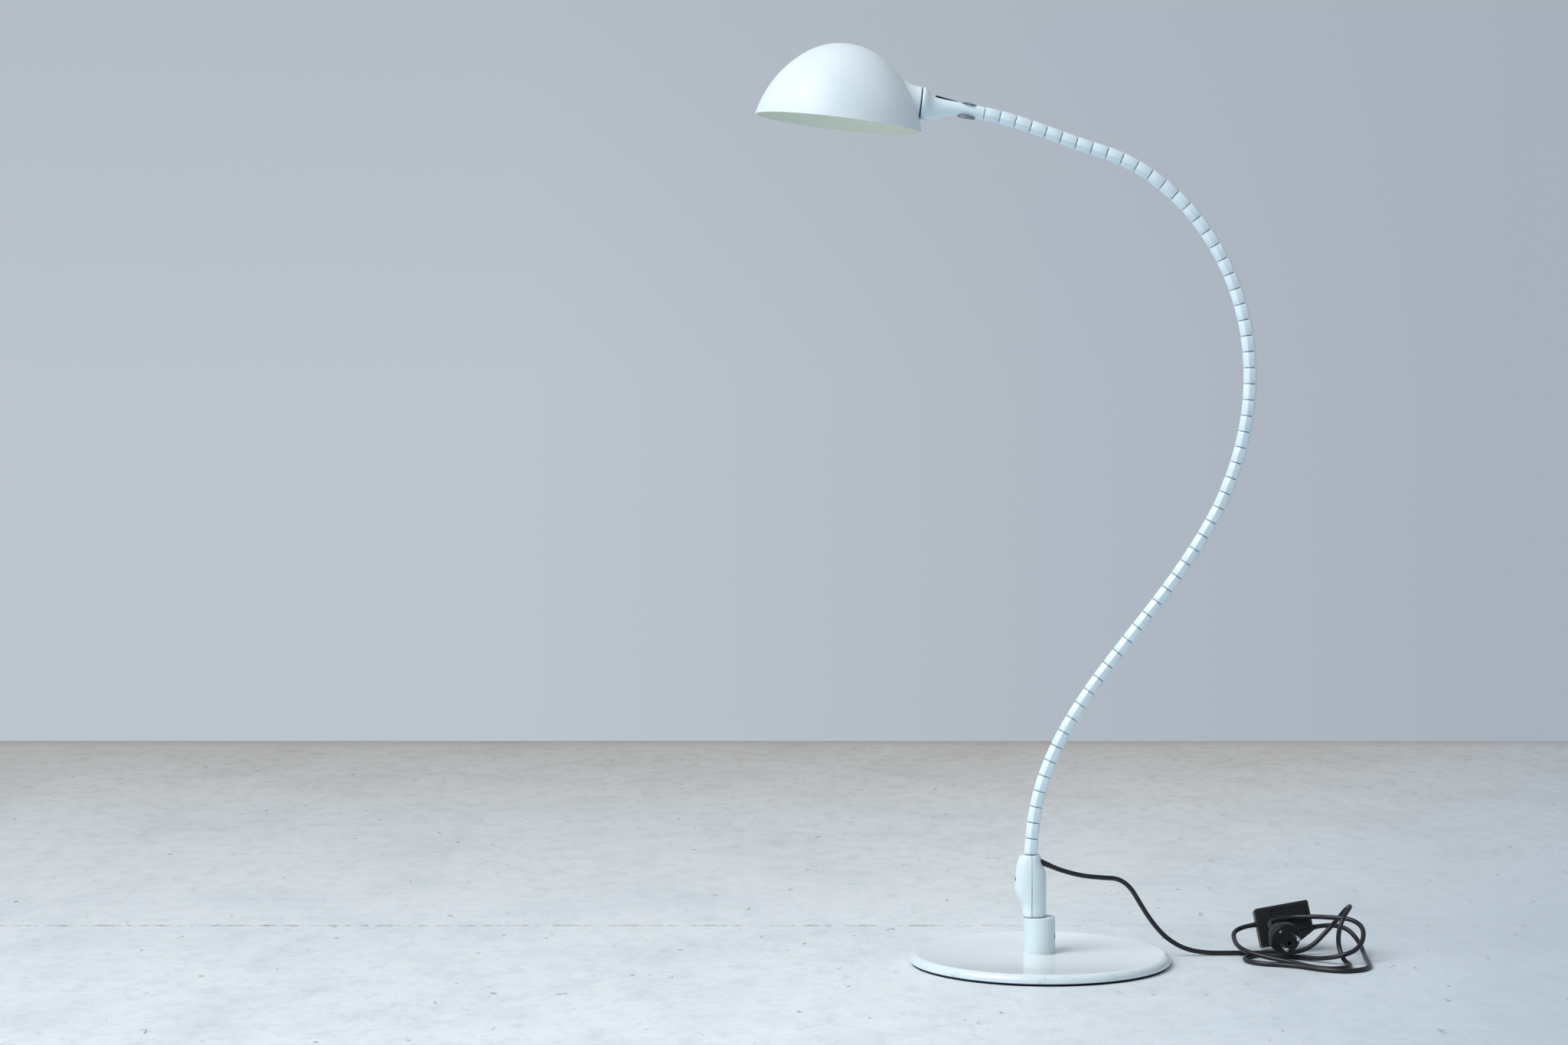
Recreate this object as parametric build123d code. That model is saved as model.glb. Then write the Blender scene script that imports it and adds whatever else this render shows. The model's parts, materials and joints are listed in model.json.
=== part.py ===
from build123d import *
import math
import os

# Gooseneck reading floor lamp: a heavy round base with a short post, a two-shell housing,
# a neck of many six-sided links, an arm with a collar, and a dome shade that rolls on it.
# Millimetres. The origin is the middle of the flat underside. +Z is up, +X is to the right
# when the lamp is seen from the front, and +Y points away from the viewer.

# ---- base ----
BASE_RADIUS = 160.0
BASE_THICK = 10.0
BASE_EDGE_ROUND = 8.0
PAD_RADIUS = 157.0
PAD_THICK = 3.0
POST_RADIUS = 19.25
POST_HEIGHT = 44.0
POST_EDGE_ROUND = 0.8
BOLT_RADIUS = 4.0
BOLT_HEAD_RADIUS = 8.0
BOLT_HEAD_THICK = 4.5
BOLT_BITE = 9.0
BOLT_HEAD_SINK = 0.6
PIN_RADIUS = 6.5
PIN_IN_POST = 33.0
PIN_IN_HOUSING = 24.0
FIT = 0.05
SET_SCREW_RADIUS = 3.6
SET_SCREW_LENGTH = 9.0
SET_SCREW_HEIGHT = 21.0
SET_SCREW_TURN = -12.0
HEX_KEY_RADIUS = 1.6
HEX_KEY_DEPTH = 2.5

# ---- housing: half shells that meet at a seam left of the pin ----
HOUSING_WALL = 2.4
SEAM_X = -10.3
SEAM_GAP = 0.3
# height above the post, reach to the left, reach to the right, half depth
HOUSING_SECTIONS = (
    (0.0, 9.6, 18.4, 14.0),
    (12.0, 11.0, 18.4, 14.2),
    (19.0, 13.6, 18.4, 14.5),
    (26.0, 17.4, 18.4, 14.8),
    (31.0, 19.4, 18.4, 14.8),
    (46.0, 19.6, 18.4, 14.8),
    (55.0, 19.1, 17.6, 14.6),
    (63.5, 18.0, 13.6, 13.9),
    (71.0, 16.0, 11.6, 12.6),
    (76.2, 12.8, 10.2, 11.0),
)
HOUSING_FLOOR = 4.0
HOUSING_ROOF = 6.5
PIN_BOSS_WALL = 3.0
# how far the cuts and cores of the housing run past its middle before they are trimmed
CORE_REACH = 90.0
HOUSING_SCREW_HEIGHT = 46.0
HOUSING_SCREW_RADIUS = 1.5
HOUSING_SCREW_HEAD = 2.9
HOUSING_SCREW_LENGTH = 24.0
SCREW_BOSS_WALL = 2.0
TERMINAL_SIZE = (9.0, 17.0, 14.0)
TERMINAL_X = -4.6
TERMINAL_SCREW_RADIUS = 1.6
TERMINAL_SCREW_SPACING = 8.0

# ---- neck ----
BEAD_PITCH = 19.6
BEAD_COUNT = 59
BEAD_RADIUS = 8.9
BEAD_TURN = 15.0
BEAD_CHAMFER = 1.5
BEAD_CHAMFER_LENGTH = 1.1
BEAD_GAP = 0.9
BEADS_PER_LINK = 2
NOSE_RADIUS = 5.2
NOSE_REACH = 3.2
SOCKET_CLEARANCE = 0.1
SOCKET_DEPTH = 3.9
WIRE_BORE_RADIUS = 2.6
NECK_FOOT_X = -11.1
NECK_FOOT_LIFT = 0.9
NECK_HEADING = 85.5
# turn of a bead against the one below it, in degrees, at the named beads; between them it
# changes evenly, and a positive turn bends the neck to the left
BEND_AT_BEAD = (
    (1, 0.0), (4, -4.31), (17, 0.17), (28, 3.02), (38, 3.58), (45, 3.89), (52, 5.15), (53, -1.74), (59, 2.9),
)
# joints that stand a little more open on the outside of the bend, and by how much
LOOSE_JOINTS = {26: 2.4, 46: 2.4, 50: 1.8}
LOOSE_NEIGHBOURS = 2
SPIGOT_FLANGE_RADIUS = 7.4
SPIGOT_FLANGE_THICK = 2.4
SPIGOT_SINK = 2.6

# ---- arm and collar ----
ARM_TURN = 2.6
ARM_LENGTH = 77.6
ARM_DROP = 1.4
COLLAR_TURN = 3.5
COLLAR_RADIUS = 19.5
COLLAR_THICK = 3.6
COLLAR_ROUND = 2.4
# distance from the last neck joint, top, bottom, half depth
ARM_SECTIONS = (
    (0.45, 7.8, -7.8, 8.0),
    (33.0, 8.2, -8.3, 8.2),
    (39.5, 8.3, -9.9, 8.4),
    (46.0, 8.4, -12.6, 8.9),
    (54.0, 8.6, -16.7, 10.0),
    (62.0, 9.4, -19.4, 12.4),
    (68.0, 12.6, -20.4, 16.0),
)
ARM_SCREW_AT = 20.5
ARM_SCREW_RADIUS = 3.0
ARM_SCREW_HEAD_RADIUS = 10.0
ARM_SCREW_HEAD_RISE = 2.6
ARM_SEAT_HEIGHT = 7.7
ARM_SEAT_DEPTH = 7.9
ARM_NUT_RADIUS = 10.8
ARM_NUT_THICK = 1.8
ARM_NUT_SLEEVE_RADIUS = 4.2
ARM_NUT_SLEEVE = 7.0
STRIP_FROM = 33.0
STRIP_TO = 61.5
STRIP_WIDTH = 6.0
STRIP_FLOOR = 5.6
STRIP_PROUD = 1.5
DUCT_WIDTH = 12.4
DUCT_HEIGHT = 4.4
DUCT_END = 66.0

# ---- shade ----
RIM_RADIUS = 101.7
SHADE_WALL = 2.0
DOME_SIDE_RADIUS = 133.0
DOME_SIDE_LEAN = 11.5
DOME_TOP_RADIUS = 84.2
ROLL_AXIS_HEIGHT = 36.7
STUB_REACH = 96.0
STUB_RADIUS = 19.5
STUB_FLARE_RADIUS = 45.0
STUB_FLARE_LENGTH = 28.0
COLLAR_STANDOFF = 0.6
SEAT_AT = 87.5
SEAT_RADIUS = 15.0

# ---- inside the shade ----
SWIVEL_RADIUS = 5.0
SWIVEL_BORE = 3.6
SWIVEL_IN_COLLAR = 12.0
NUT_RADIUS = 9.0
NUT_THICK = 4.0
NUT_SEAT_GAP = 0.3
HOLDER_RADIUS = 14.0
HOLDER_LENGTH = 42.0
HOLDER_CAP = 8.0
BULB_CAP_RADIUS = 7.0
BULB_CAP_LENGTH = 20.0
BULB_GLOBE_RADIUS = 22.5
BULB_LENGTH = 74.0
BULB_SHOULDER = 22.0
BULB_SHOULDER_RADIUS = 18.0
BULB_WALL = 1.0
BULB_CONTACT_RADIUS = 2.0

# ---- mains lead ----
CORD_RADIUS = 2.95
# where the lead leaves the housing, and the points that it then follows to the loose coil
LEAD_EXIT = (-1.0, 0.0, 125.4)
LEAD_ROUTE = (
    (27.0, 4.2, 113.2), (53.0, 10.0, 105.6), (80.0, 17.0, 102.2), (99.0, 22.0, 100.6),
    (114.5, 26.5, 89.0), (126.5, 31.0, 68.5), (141.0, 35.5, 45.5), (159.0, 40.0, 24.5),
    (183.0, 45.5, 9.0), (211.0, 50.5, 3.1), (240.0, 50.5, 3.1),
)
RELIEF_ROOT_RADIUS = 4.1
RELIEF_TIP_RADIUS = 3.1
RELIEF_LENGTH = 22.0

# ---- loose coil, inline box and plug, which lie on the floor beside the base ----
# blocks of the coil's outer shape: left, right, front, back, height
COIL_BLOCKS = (
    (240.0, 404.0, -72.0, 65.0, 8.0),
    (268.0, 392.0, 38.0, 48.0, 54.0),
    (246.0, 272.0, 40.0, 92.0, 42.0),
    (357.0, 385.0, 44.0, 92.0, 38.0),
)
COIL_FLOOR_GAP = 0.1
COIL_CORNER = 9.0
# the loop of lead that stands up at the right of the coil
HOOK_FOOT = (378.0, 28.0)
HOOK_FOOT_SIZE = (26.0, 34.0)
HOOK_TOP = (378.0, 32.0)
HOOK_TOP_SIZE = (12.0, 10.0)
HOOK_HEIGHT = 66.0
BOX_AT = (312.5, 73.5, 36.6)
BOX_ROLL = -10.3
BOX_LEAN = 15.0
BOX_LENGTH = 68.0
BOX_HEIGHT = 48.0
BOX_FRONT_DEPTH = 13.0
BOX_BACK_DEPTH = 15.0
BOX_CORNER = 3.0
BOX_CUT_LENGTH = 17.0
BOX_CUT_HEIGHT = 9.0
BOX_EDGE = 2.5
BOX_WALL = 2.2
PEDAL_LEFT = -14.0
PEDAL_RIGHT = 29.0
PEDAL_LOW = -11.5
PEDAL_HIGH = 18.5
PEDAL_GAP = 0.4
PEDAL_PROUD = 1.2
PEDAL_THICK = 4.0
PEDAL_LIP = 1.6
PEDAL_TRAVEL = 2.0
PEDAL_SPRING_ROOM = 15.8
RIB_PITCH = 3.6
RIB_WIDTH = 1.4
RIB_DEPTH = 0.6
RIB_COUNT = 8
BOX_RELIEF_LENGTH = 14.0
BOX_RELIEF_LEFT_HEIGHT = 5.5
BOX_RELIEF_RIGHT_HEIGHT = -10.5
PLUG_AT = (303.5, 2.0, 28.4)
PLUG_YAW = 17.0
PLUG_PITCH = 12.0
PLUG_ROLL = 41.0
PLUG_RADIUS = 19.6
PLUG_SKIRT = 9.0
PLUG_DEPTH = 26.0
PLUG_BACK_RADIUS = 12.0
PLUG_EDGE = 1.2
PLUG_RELIEF_LENGTH = 14.0
PIN_SPACING = 19.0
PLUG_PIN_RADIUS = 2.4
PLUG_PIN_LENGTH = 19.0
PLUG_PIN_SEAT = 8.0
EARTH_HOLE_RADIUS = 2.5
EARTH_HOLE_AT = -7.0
EARTH_HOLE_DEPTH = 16.0
PLUG_SCREW_RADIUS = 2.0
PLUG_SCREW_AT = 13.0
PLUG_SCREW_LENGTH = 12.0
PLUG_SCREW_SINK = 1.5


# ---- sizes that follow from those above ----
PLATE_TOP = PAD_THICK + BASE_THICK
POST_TOP = PLATE_TOP + POST_HEIGHT
HOUSING_TOP = POST_TOP + HOUSING_SECTIONS[-1][0]
NOSE_BASE_RADIUS = math.sqrt(NOSE_RADIUS ** 2 - (BEAD_GAP / 2) ** 2)
NOSE_TIP_RADIUS = math.sqrt(NOSE_RADIUS ** 2 - NOSE_REACH ** 2)
SOCKET_RADIUS = (NOSE_RADIUS + SOCKET_CLEARANCE) / math.cos(math.pi / 6)
COLLAR_TO_AXIS = COLLAR_STANDOFF + STUB_REACH
NUT_AT = COLLAR_TO_AXIS - SEAT_AT + NUT_SEAT_GAP
HOLDER_AT = NUT_AT + NUT_THICK
BULB_AT = HOLDER_AT + HOLDER_LENGTH - BULB_CAP_LENGTH
PEDAL_BACK = BOX_WALL + PEDAL_THICK + PEDAL_TRAVEL
BOX_CORE_DEPTH = BOX_FRONT_DEPTH + BOX_BACK_DEPTH - PEDAL_BACK - PEDAL_SPRING_ROOM

UP = (Align.CENTER, Align.CENTER, Align.MIN)
DOWN = (Align.CENTER, Align.CENTER, Align.MAX)
HALF_TURN = 180.0
HALF_SIDE_TURN = 30.0
ALONG_X = Rot(0, 90, 0)


def rod(radius, length, align=UP):
    """A plain cylinder that stands on the origin."""
    return Cylinder(radius, length, align=align)


def hexagon(radius, turn=0.0):
    """A six-sided outline of this corner radius."""
    return RegularPolygon(radius, 6, rotation=turn)


def block(left, right, front, back, low, high):
    """A box between these planes."""
    middle = Pos((left + right) / 2, (front + back) / 2, (low + high) / 2)
    return middle * Box(right - left, back - front, high - low)


def neck_frame(x, z, heading):
    """A frame in the plane of the neck: z runs along the heading and x points to its right."""
    a = math.radians(heading)
    return Plane(origin=(x, 0, z), x_dir=(math.sin(a), 0, -math.cos(a)), z_dir=(math.cos(a), 0, math.sin(a)))


def arm_frame(x, z, heading):
    """A frame in the plane of the neck: x runs along the heading and z points upwards."""
    a = math.radians(heading)
    return Plane(origin=(x, 0, z), x_dir=(math.cos(a), 0, math.sin(a)), z_dir=(math.sin(a), 0, -math.cos(a)))


def bend_at(bead):
    """The turn of this bead against the one below it."""
    turn = 0.0
    for (low, low_turn), (high, high_turn) in zip(BEND_AT_BEAD, BEND_AT_BEAD[1:]):
        if low < bead <= high:
            turn = low_turn + (high_turn - low_turn) * (bead - low) / (high - low)
    for loose, extra in LOOSE_JOINTS.items():
        if bead == loose:
            turn += extra
        elif abs(bead - loose) <= LOOSE_NEIGHBOURS:
            turn -= extra / (2 * LOOSE_NEIGHBOURS)
    return turn


def neck_joints():
    """Foot point and heading of every bead, then the point where the arm starts."""
    x, z, heading = NECK_FOOT_X, HOUSING_TOP + NECK_FOOT_LIFT, NECK_HEADING
    joints = []
    for number in range(1, BEAD_COUNT + 1):
        heading += bend_at(number)
        joints.append((x, z, heading))
        x += BEAD_PITCH * math.cos(math.radians(heading))
        z += BEAD_PITCH * math.sin(math.radians(heading))
    joints.append((x, z, heading))
    return joints


JOINTS = neck_joints()
FOOT = neck_frame(*JOINTS[0]).location
ARM = arm_frame(JOINTS[-1][0], JOINTS[-1][1], JOINTS[-1][2] + ARM_TURN).location
ROLL = ARM * Pos(ARM_LENGTH, 0, -ARM_DROP) * Rot(0, COLLAR_TURN, 0)
DOME = Pos(COLLAR_TO_AXIS, 0, -ROLL_AXIS_HEIGHT)


# ---- base ----
def base_plate():
    """The heavy disc, with a well for the bolt's head in its underside."""
    disc = rod(BASE_RADIUS, BASE_THICK)
    disc = fillet(disc.edges().sort_by(Axis.Z)[-1], BASE_EDGE_ROUND)
    disc -= rod(BOLT_RADIUS + FIT, BASE_THICK)
    disc -= rod(BOLT_HEAD_RADIUS + FIT, BOLT_HEAD_THICK + BOLT_HEAD_SINK)
    return Pos(0, 0, PAD_THICK) * disc


def base_pad():
    """The soft disc under the plate that the lamp stands on."""
    return rod(PAD_RADIUS, PAD_THICK)


def post_bolt():
    """The bolt that holds the post down on the plate."""
    head = rod(BOLT_HEAD_RADIUS, BOLT_HEAD_THICK)
    shank = rod(BOLT_RADIUS, BASE_THICK - BOLT_HEAD_SINK + BOLT_BITE)
    return Pos(0, 0, PAD_THICK + BOLT_HEAD_SINK) * (head + shank)


def set_screw_axis():
    """The place where the set screw bears on the pin, with z outward along the screw."""
    height = Pos(0, 0, PLATE_TOP + SET_SCREW_HEIGHT)
    return height * Rot(0, 0, SET_SCREW_TURN) * ALONG_X * Pos(0, 0, PIN_RADIUS + FIT)


def base_post():
    """The short post: bored for the pin from above and for the bolt from below."""
    post = rod(POST_RADIUS, POST_HEIGHT)
    post = fillet(post.edges().sort_by(Axis.Z)[-1], POST_EDGE_ROUND)
    post -= Pos(0, 0, POST_HEIGHT) * rod(PIN_RADIUS + FIT, PIN_IN_POST + FIT, DOWN)
    post -= rod(BOLT_RADIUS + FIT, BOLT_BITE + FIT)
    post = Pos(0, 0, PLATE_TOP) * post
    return post - set_screw_axis() * rod(SET_SCREW_RADIUS + FIT, POST_RADIUS)


def set_screw():
    """The grub screw that clamps the pin, with a six-sided key hole."""
    screw = rod(SET_SCREW_RADIUS, SET_SCREW_LENGTH)
    screw -= Pos(0, 0, SET_SCREW_LENGTH) * extrude(hexagon(HEX_KEY_RADIUS), -HEX_KEY_DEPTH)
    return set_screw_axis() * screw


def mounting_pin():
    """The steel pin that joins the housing to the post."""
    pin = rod(PIN_RADIUS, PIN_IN_POST + PIN_IN_HOUSING)
    pin = chamfer(pin.edges().filter_by(GeomType.CIRCLE), POST_EDGE_ROUND)
    return Pos(0, 0, POST_TOP - PIN_IN_POST) * pin


# ---- housing ----
def half_section(height, reach, half_depth):
    """Half an ellipse that is flat at the seam and bulges to the right."""
    curve = EllipticalCenterArc((0, 0), reach, half_depth, start_angle=-90, arc_size=HALF_TURN)
    return Pos(0, 0, height) * make_face(curve + Line(curve @ 1, curve @ 0))


def housing_form(side, wall=0.0):
    """One half of the housing's form, moved in by a wall. The side is 1 for right and -1 for left."""
    sections = []
    for height, left, right, half_depth in HOUSING_SECTIONS:
        reach = right if side > 0 else left
        sections.append(half_section(height, reach - wall, half_depth - wall))
    form = loft(sections)
    return Pos(SEAM_X, 0, POST_TOP) * (form if side > 0 else mirror(form, Plane.YZ))


def housing_cavity(side):
    """The hollow of one half, between the floor and the roof."""
    span = (-CORE_REACH, CORE_REACH)
    inside = block(*span, *span, POST_TOP + HOUSING_FLOOR, HOUSING_TOP - HOUSING_ROOF)
    return housing_form(side, HOUSING_WALL) & inside


def seam_cut():
    """The thin gap between the two halves."""
    half = SEAM_GAP / 2
    return block(SEAM_X - half, SEAM_X + half, -CORE_REACH, CORE_REACH, 0, HOUSING_TOP + CORE_REACH)


def spigot_pocket():
    """The space that the spigot takes in the housing's top."""
    flange = Pos(0, 0, -SPIGOT_SINK) * rod(SPIGOT_FLANGE_RADIUS + FIT, SPIGOT_FLANGE_THICK + FIT, DOWN)
    stem = Pos(0, 0, SPIGOT_SINK) * rod(NOSE_RADIUS + FIT, HOUSING_ROOF + 3 * SPIGOT_SINK, DOWN)
    return FOOT * (flange + stem)


def housing_screw_axis():
    """The seat of the housing screw's head in the left wall, pointing right."""
    wall = [left for height, left, right, depth in HOUSING_SECTIONS if height == HOUSING_SCREW_HEIGHT][0]
    at = Pos(SEAM_X - wall + HOUSING_SCREW_RADIUS, 0, POST_TOP + HOUSING_SCREW_HEIGHT)
    return at * ALONG_X


def lead_plane():
    """The plane across the lead where it leaves the housing."""
    start = Vector(*LEAD_EXIT)
    return Plane(origin=start, z_dir=Vector(*LEAD_ROUTE[0]) - start)


def housing_left():
    """The left half shell, which the small screw holds on."""
    shell = housing_form(-1) - housing_cavity(-1) - seam_cut() - spigot_pocket()
    shell -= housing_screw_axis() * rod(HOUSING_SCREW_RADIUS + FIT, HOUSING_WALL * 3)
    return shell - housing_screw_axis() * rod(HOUSING_SCREW_HEAD + FIT, HOUSING_WALL * 3, DOWN)


def housing_right():
    """The right half shell, with the pin's boss, the screw's boss and the lead's hole."""
    form = housing_form(1)
    boss = Pos(0, 0, POST_TOP) * rod(PIN_RADIUS + PIN_BOSS_WALL, PIN_IN_HOUSING + PIN_BOSS_WALL)
    screw_boss = housing_screw_axis() * rod(HOUSING_SCREW_RADIUS + SCREW_BOSS_WALL, CORE_REACH)
    shell = form - housing_cavity(1) + ((boss + screw_boss) & form)
    shell -= Pos(0, 0, POST_TOP) * rod(PIN_RADIUS + FIT, PIN_IN_HOUSING + FIT)
    shell -= housing_screw_axis() * rod(HOUSING_SCREW_RADIUS + FIT, HOUSING_SCREW_LENGTH + FIT)
    shell -= lead_plane().location * rod(RELIEF_ROOT_RADIUS + FIT, RELIEF_LENGTH)
    return shell - seam_cut() - spigot_pocket()


def housing_screw():
    """The small dark screw in the left half."""
    head = rod(HOUSING_SCREW_HEAD, HOUSING_SCREW_RADIUS, DOWN)
    return housing_screw_axis() * (head + rod(HOUSING_SCREW_RADIUS, HOUSING_SCREW_LENGTH))


def terminal_block():
    """The block inside the housing where the lead meets the wires of the neck."""
    width, depth, height = TERMINAL_SIZE
    body = Box(width, depth, height, align=UP)
    for side in (-1, 1):
        hole = Pos(-width / 2, side * TERMINAL_SCREW_SPACING / 2, height / 2) * ALONG_X
        body -= hole * rod(TERMINAL_SCREW_RADIUS, width / 2)
    return Pos(TERMINAL_X, 0, POST_TOP + PIN_IN_HOUSING + PIN_BOSS_WALL) * body


def neck_spigot():
    """The piece held in the housing's top, whose nose carries the first bead."""
    flange = Pos(0, 0, -SPIGOT_SINK) * rod(SPIGOT_FLANGE_RADIUS, SPIGOT_FLANGE_THICK, DOWN)
    stem = Pos(0, 0, -SPIGOT_SINK) * extrude(hexagon(NOSE_BASE_RADIUS), SPIGOT_SINK - BEAD_GAP / 2)
    return FOOT * (flange + stem + nose() - wire_bore(-BEAD_PITCH))


# ---- neck ----
def nose():
    """The blunt six-sided nose on a joint's centre: its corners lie on one ball."""
    foot = Pos(0, 0, -BEAD_GAP / 2) * hexagon(NOSE_BASE_RADIUS)
    tip = Pos(0, 0, NOSE_REACH) * hexagon(NOSE_TIP_RADIUS)
    return loft([foot, tip], ruled=True)


def socket():
    """The six-sided socket on a joint's centre: its flats clear the ball of the nose."""
    return extrude(hexagon(SOCKET_RADIUS, HALF_SIDE_TURN), SOCKET_DEPTH)


def wire_bore(start):
    """The passage for the wires, two bead lengths long."""
    return Pos(0, 0, start) * extrude(hexagon(WIRE_BORE_RADIUS, HALF_SIDE_TURN), 2 * BEAD_PITCH)


def bead():
    """One bead on its lower joint: bevelled ends, a socket below, a nose above and a bore."""
    low, high = BEAD_GAP / 2, BEAD_PITCH - BEAD_GAP / 2
    small = BEAD_RADIUS - BEAD_CHAMFER
    levels = (
        (low, small), (low + BEAD_CHAMFER_LENGTH, BEAD_RADIUS),
        (high - BEAD_CHAMFER_LENGTH, BEAD_RADIUS), (high, small),
    )
    form = loft([Pos(0, 0, z) * hexagon(radius, BEAD_TURN) for z, radius in levels], ruled=True)
    form = form - socket() + Pos(0, 0, BEAD_PITCH) * nose()
    return form - wire_bore(0)


def neck_link(number, pattern):
    """The beads of one link, each in its own place."""
    first = (number - 1) * BEADS_PER_LINK
    last = first + BEADS_PER_LINK
    if number == BEAD_COUNT // BEADS_PER_LINK:
        last = BEAD_COUNT
    return [neck_frame(*JOINTS[joint]).location * pattern for joint in range(first, last)]


# ---- arm and collar ----
def across(x, middle, shape):
    """An outline set across the arm, its long direction upright."""
    return Plane(origin=(x, 0, middle), x_dir=(0, 0, 1), z_dir=(1, 0, 0)).location * shape


def arm_form():
    """The slim beam that flares into the round collar."""
    sections = []
    for x, top, bottom, half_depth in ARM_SECTIONS:
        outline = Ellipse((top - bottom) / 2, half_depth)
        sections.append(ARM * across(x, (top + bottom) / 2, outline))
    sections.append(ROLL * across(-COLLAR_THICK, 0, Circle(COLLAR_RADIUS)))
    cap = ALONG_X * rod(COLLAR_RADIUS, COLLAR_THICK, DOWN)
    cap = fillet(cap.edges().sort_by(Axis.X)[-1], COLLAR_ROUND)
    return loft(sections[:2], ruled=True) + loft(sections[1:]) + ROLL * cap


def arm_bores():
    """What is cut from the arm: socket, wire duct, swivel seat, screw seats and strip groove."""
    screw = Pos(ARM_SCREW_AT, 0, 0)
    cut = ALONG_X * Rot(0, 0, 90) * socket()
    cut += block(SOCKET_DEPTH, DUCT_END, -DUCT_WIDTH / 2, DUCT_WIDTH / 2, -DUCT_HEIGHT / 2, DUCT_HEIGHT / 2)
    cut += screw * rod(ARM_SCREW_RADIUS + FIT, 6 * ARM_SEAT_DEPTH, (Align.CENTER,) * 3)
    cut += screw * Pos(0, 0, ARM_SEAT_HEIGHT) * rod(ARM_SCREW_HEAD_RADIUS + FIT, COLLAR_RADIUS)
    seat = screw * Pos(0, 0, -ARM_SEAT_DEPTH)
    cut += seat * rod(ARM_NUT_RADIUS + FIT, COLLAR_RADIUS, DOWN)
    cut += seat * rod(ARM_NUT_SLEEVE_RADIUS + FIT, ARM_NUT_SLEEVE + FIT)
    cut += block(STRIP_FROM - FIT, STRIP_TO + FIT, -STRIP_WIDTH / 2 - FIT, STRIP_WIDTH / 2 + FIT,
                 STRIP_FLOOR, COLLAR_RADIUS)
    return cut


def arm_collar():
    """The arm with its collar, bored and grooved."""
    seat = ROLL * ALONG_X * rod(SWIVEL_RADIUS + FIT, SWIVEL_IN_COLLAR + FIT, DOWN)
    return arm_form() - ARM * arm_bores() - seat


def arm_cover():
    """The dark strip that closes the groove on the arm and stands a little proud of it."""
    tops = [section[1] for section in ARM_SECTIONS if STRIP_FROM <= section[0] <= STRIP_TO + 1]
    outline = Polygon(
        (STRIP_FROM, STRIP_FLOOR), (STRIP_TO, STRIP_FLOOR), (STRIP_TO, tops[-1] + STRIP_PROUD),
        (STRIP_FROM, tops[0]), align=None)
    side = Plane(origin=(0, 0, 0), x_dir=(1, 0, 0), z_dir=(0, -1, 0)).location
    return ARM * extrude(side * outline, STRIP_WIDTH / 2, both=True)


def dome_cap(radius, rise):
    """A shallow polished head with a flat underside."""
    ball = (radius ** 2 + rise ** 2) / (2 * rise)
    return Pos(0, 0, rise - ball) * Sphere(ball) & rod(radius, rise)


def arm_screw():
    """The domed screw through the arm."""
    length = ARM_SEAT_HEIGHT + ARM_SEAT_DEPTH + ARM_NUT_THICK / 2
    head = dome_cap(ARM_SCREW_HEAD_RADIUS, ARM_SCREW_HEAD_RISE)
    screw = head + rod(ARM_SCREW_RADIUS, length, DOWN)
    return ARM * Pos(ARM_SCREW_AT, 0, ARM_SEAT_HEIGHT) * screw


def arm_nut():
    """The flat nut under the arm, with a sleeve that reaches up into it."""
    nut = rod(ARM_NUT_RADIUS, ARM_NUT_THICK, DOWN) + rod(ARM_NUT_SLEEVE_RADIUS, ARM_NUT_SLEEVE)
    nut -= rod(ARM_SCREW_RADIUS + FIT, 4 * ARM_NUT_SLEEVE, (Align.CENTER,) * 3)
    return ARM * Pos(ARM_SCREW_AT, 0, -ARM_SEAT_DEPTH) * nut


# ---- shade ----
def dome_profile(wall=0.0):
    """Half the dome's outline, from the rim to the top, moved in by a wall: two arcs that run on."""
    lean = math.radians(DOME_SIDE_LEAN)
    side_x = RIM_RADIUS - DOME_SIDE_RADIUS * math.cos(lean)
    side_z = -DOME_SIDE_RADIUS * math.sin(lean)
    meet = math.asin(-side_x / (DOME_SIDE_RADIUS - DOME_TOP_RADIUS))
    top_z = side_z - side_x / math.tan(meet)
    middle = (lean + math.pi / 2 - meet) / 2

    def on_side(angle):
        radius = DOME_SIDE_RADIUS - wall
        return (side_x + radius * math.cos(angle), side_z + radius * math.sin(angle))

    def on_top(angle):
        radius = DOME_TOP_RADIUS - wall
        return (radius * math.sin(angle), top_z + radius * math.cos(angle))

    side = ThreePointArc(on_side(lean), on_side(middle), on_side(math.pi / 2 - meet))
    top = ThreePointArc(side @ 1, on_top(meet / 2), on_top(0))
    foot = side @ 0
    down = Polyline(top @ 1, (0, 0), (foot.X, 0))
    edges = side + top + down
    if abs(foot.Y) > 1e-6:
        edges += Line((foot.X, 0), foot)
    return make_face(edges)


def dome_solid(wall=0.0):
    """The dome turned solid about its own axis, in the roll axis's frame."""
    return DOME * revolve(Plane.XZ * dome_profile(wall), Axis.Z)


def stub():
    """The flared stub on the dome's side, in the roll axis's frame."""
    high = STUB_RADIUS + STUB_FLARE_RADIUS - math.sqrt(STUB_FLARE_RADIUS ** 2 - STUB_FLARE_LENGTH ** 2)
    mid = STUB_FLARE_LENGTH / 2
    mid_high = STUB_RADIUS + STUB_FLARE_RADIUS - math.sqrt(STUB_FLARE_RADIUS ** 2 - mid ** 2)
    flare = ThreePointArc((0, STUB_RADIUS), (mid, mid_high), (STUB_FLARE_LENGTH, high))
    outline = make_face(flare + Polyline(flare @ 1, (STUB_FLARE_LENGTH, 0), (0, 0), (0, STUB_RADIUS)))
    return Pos(COLLAR_STANDOFF, 0, 0) * revolve(outline, Axis.X)


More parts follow.
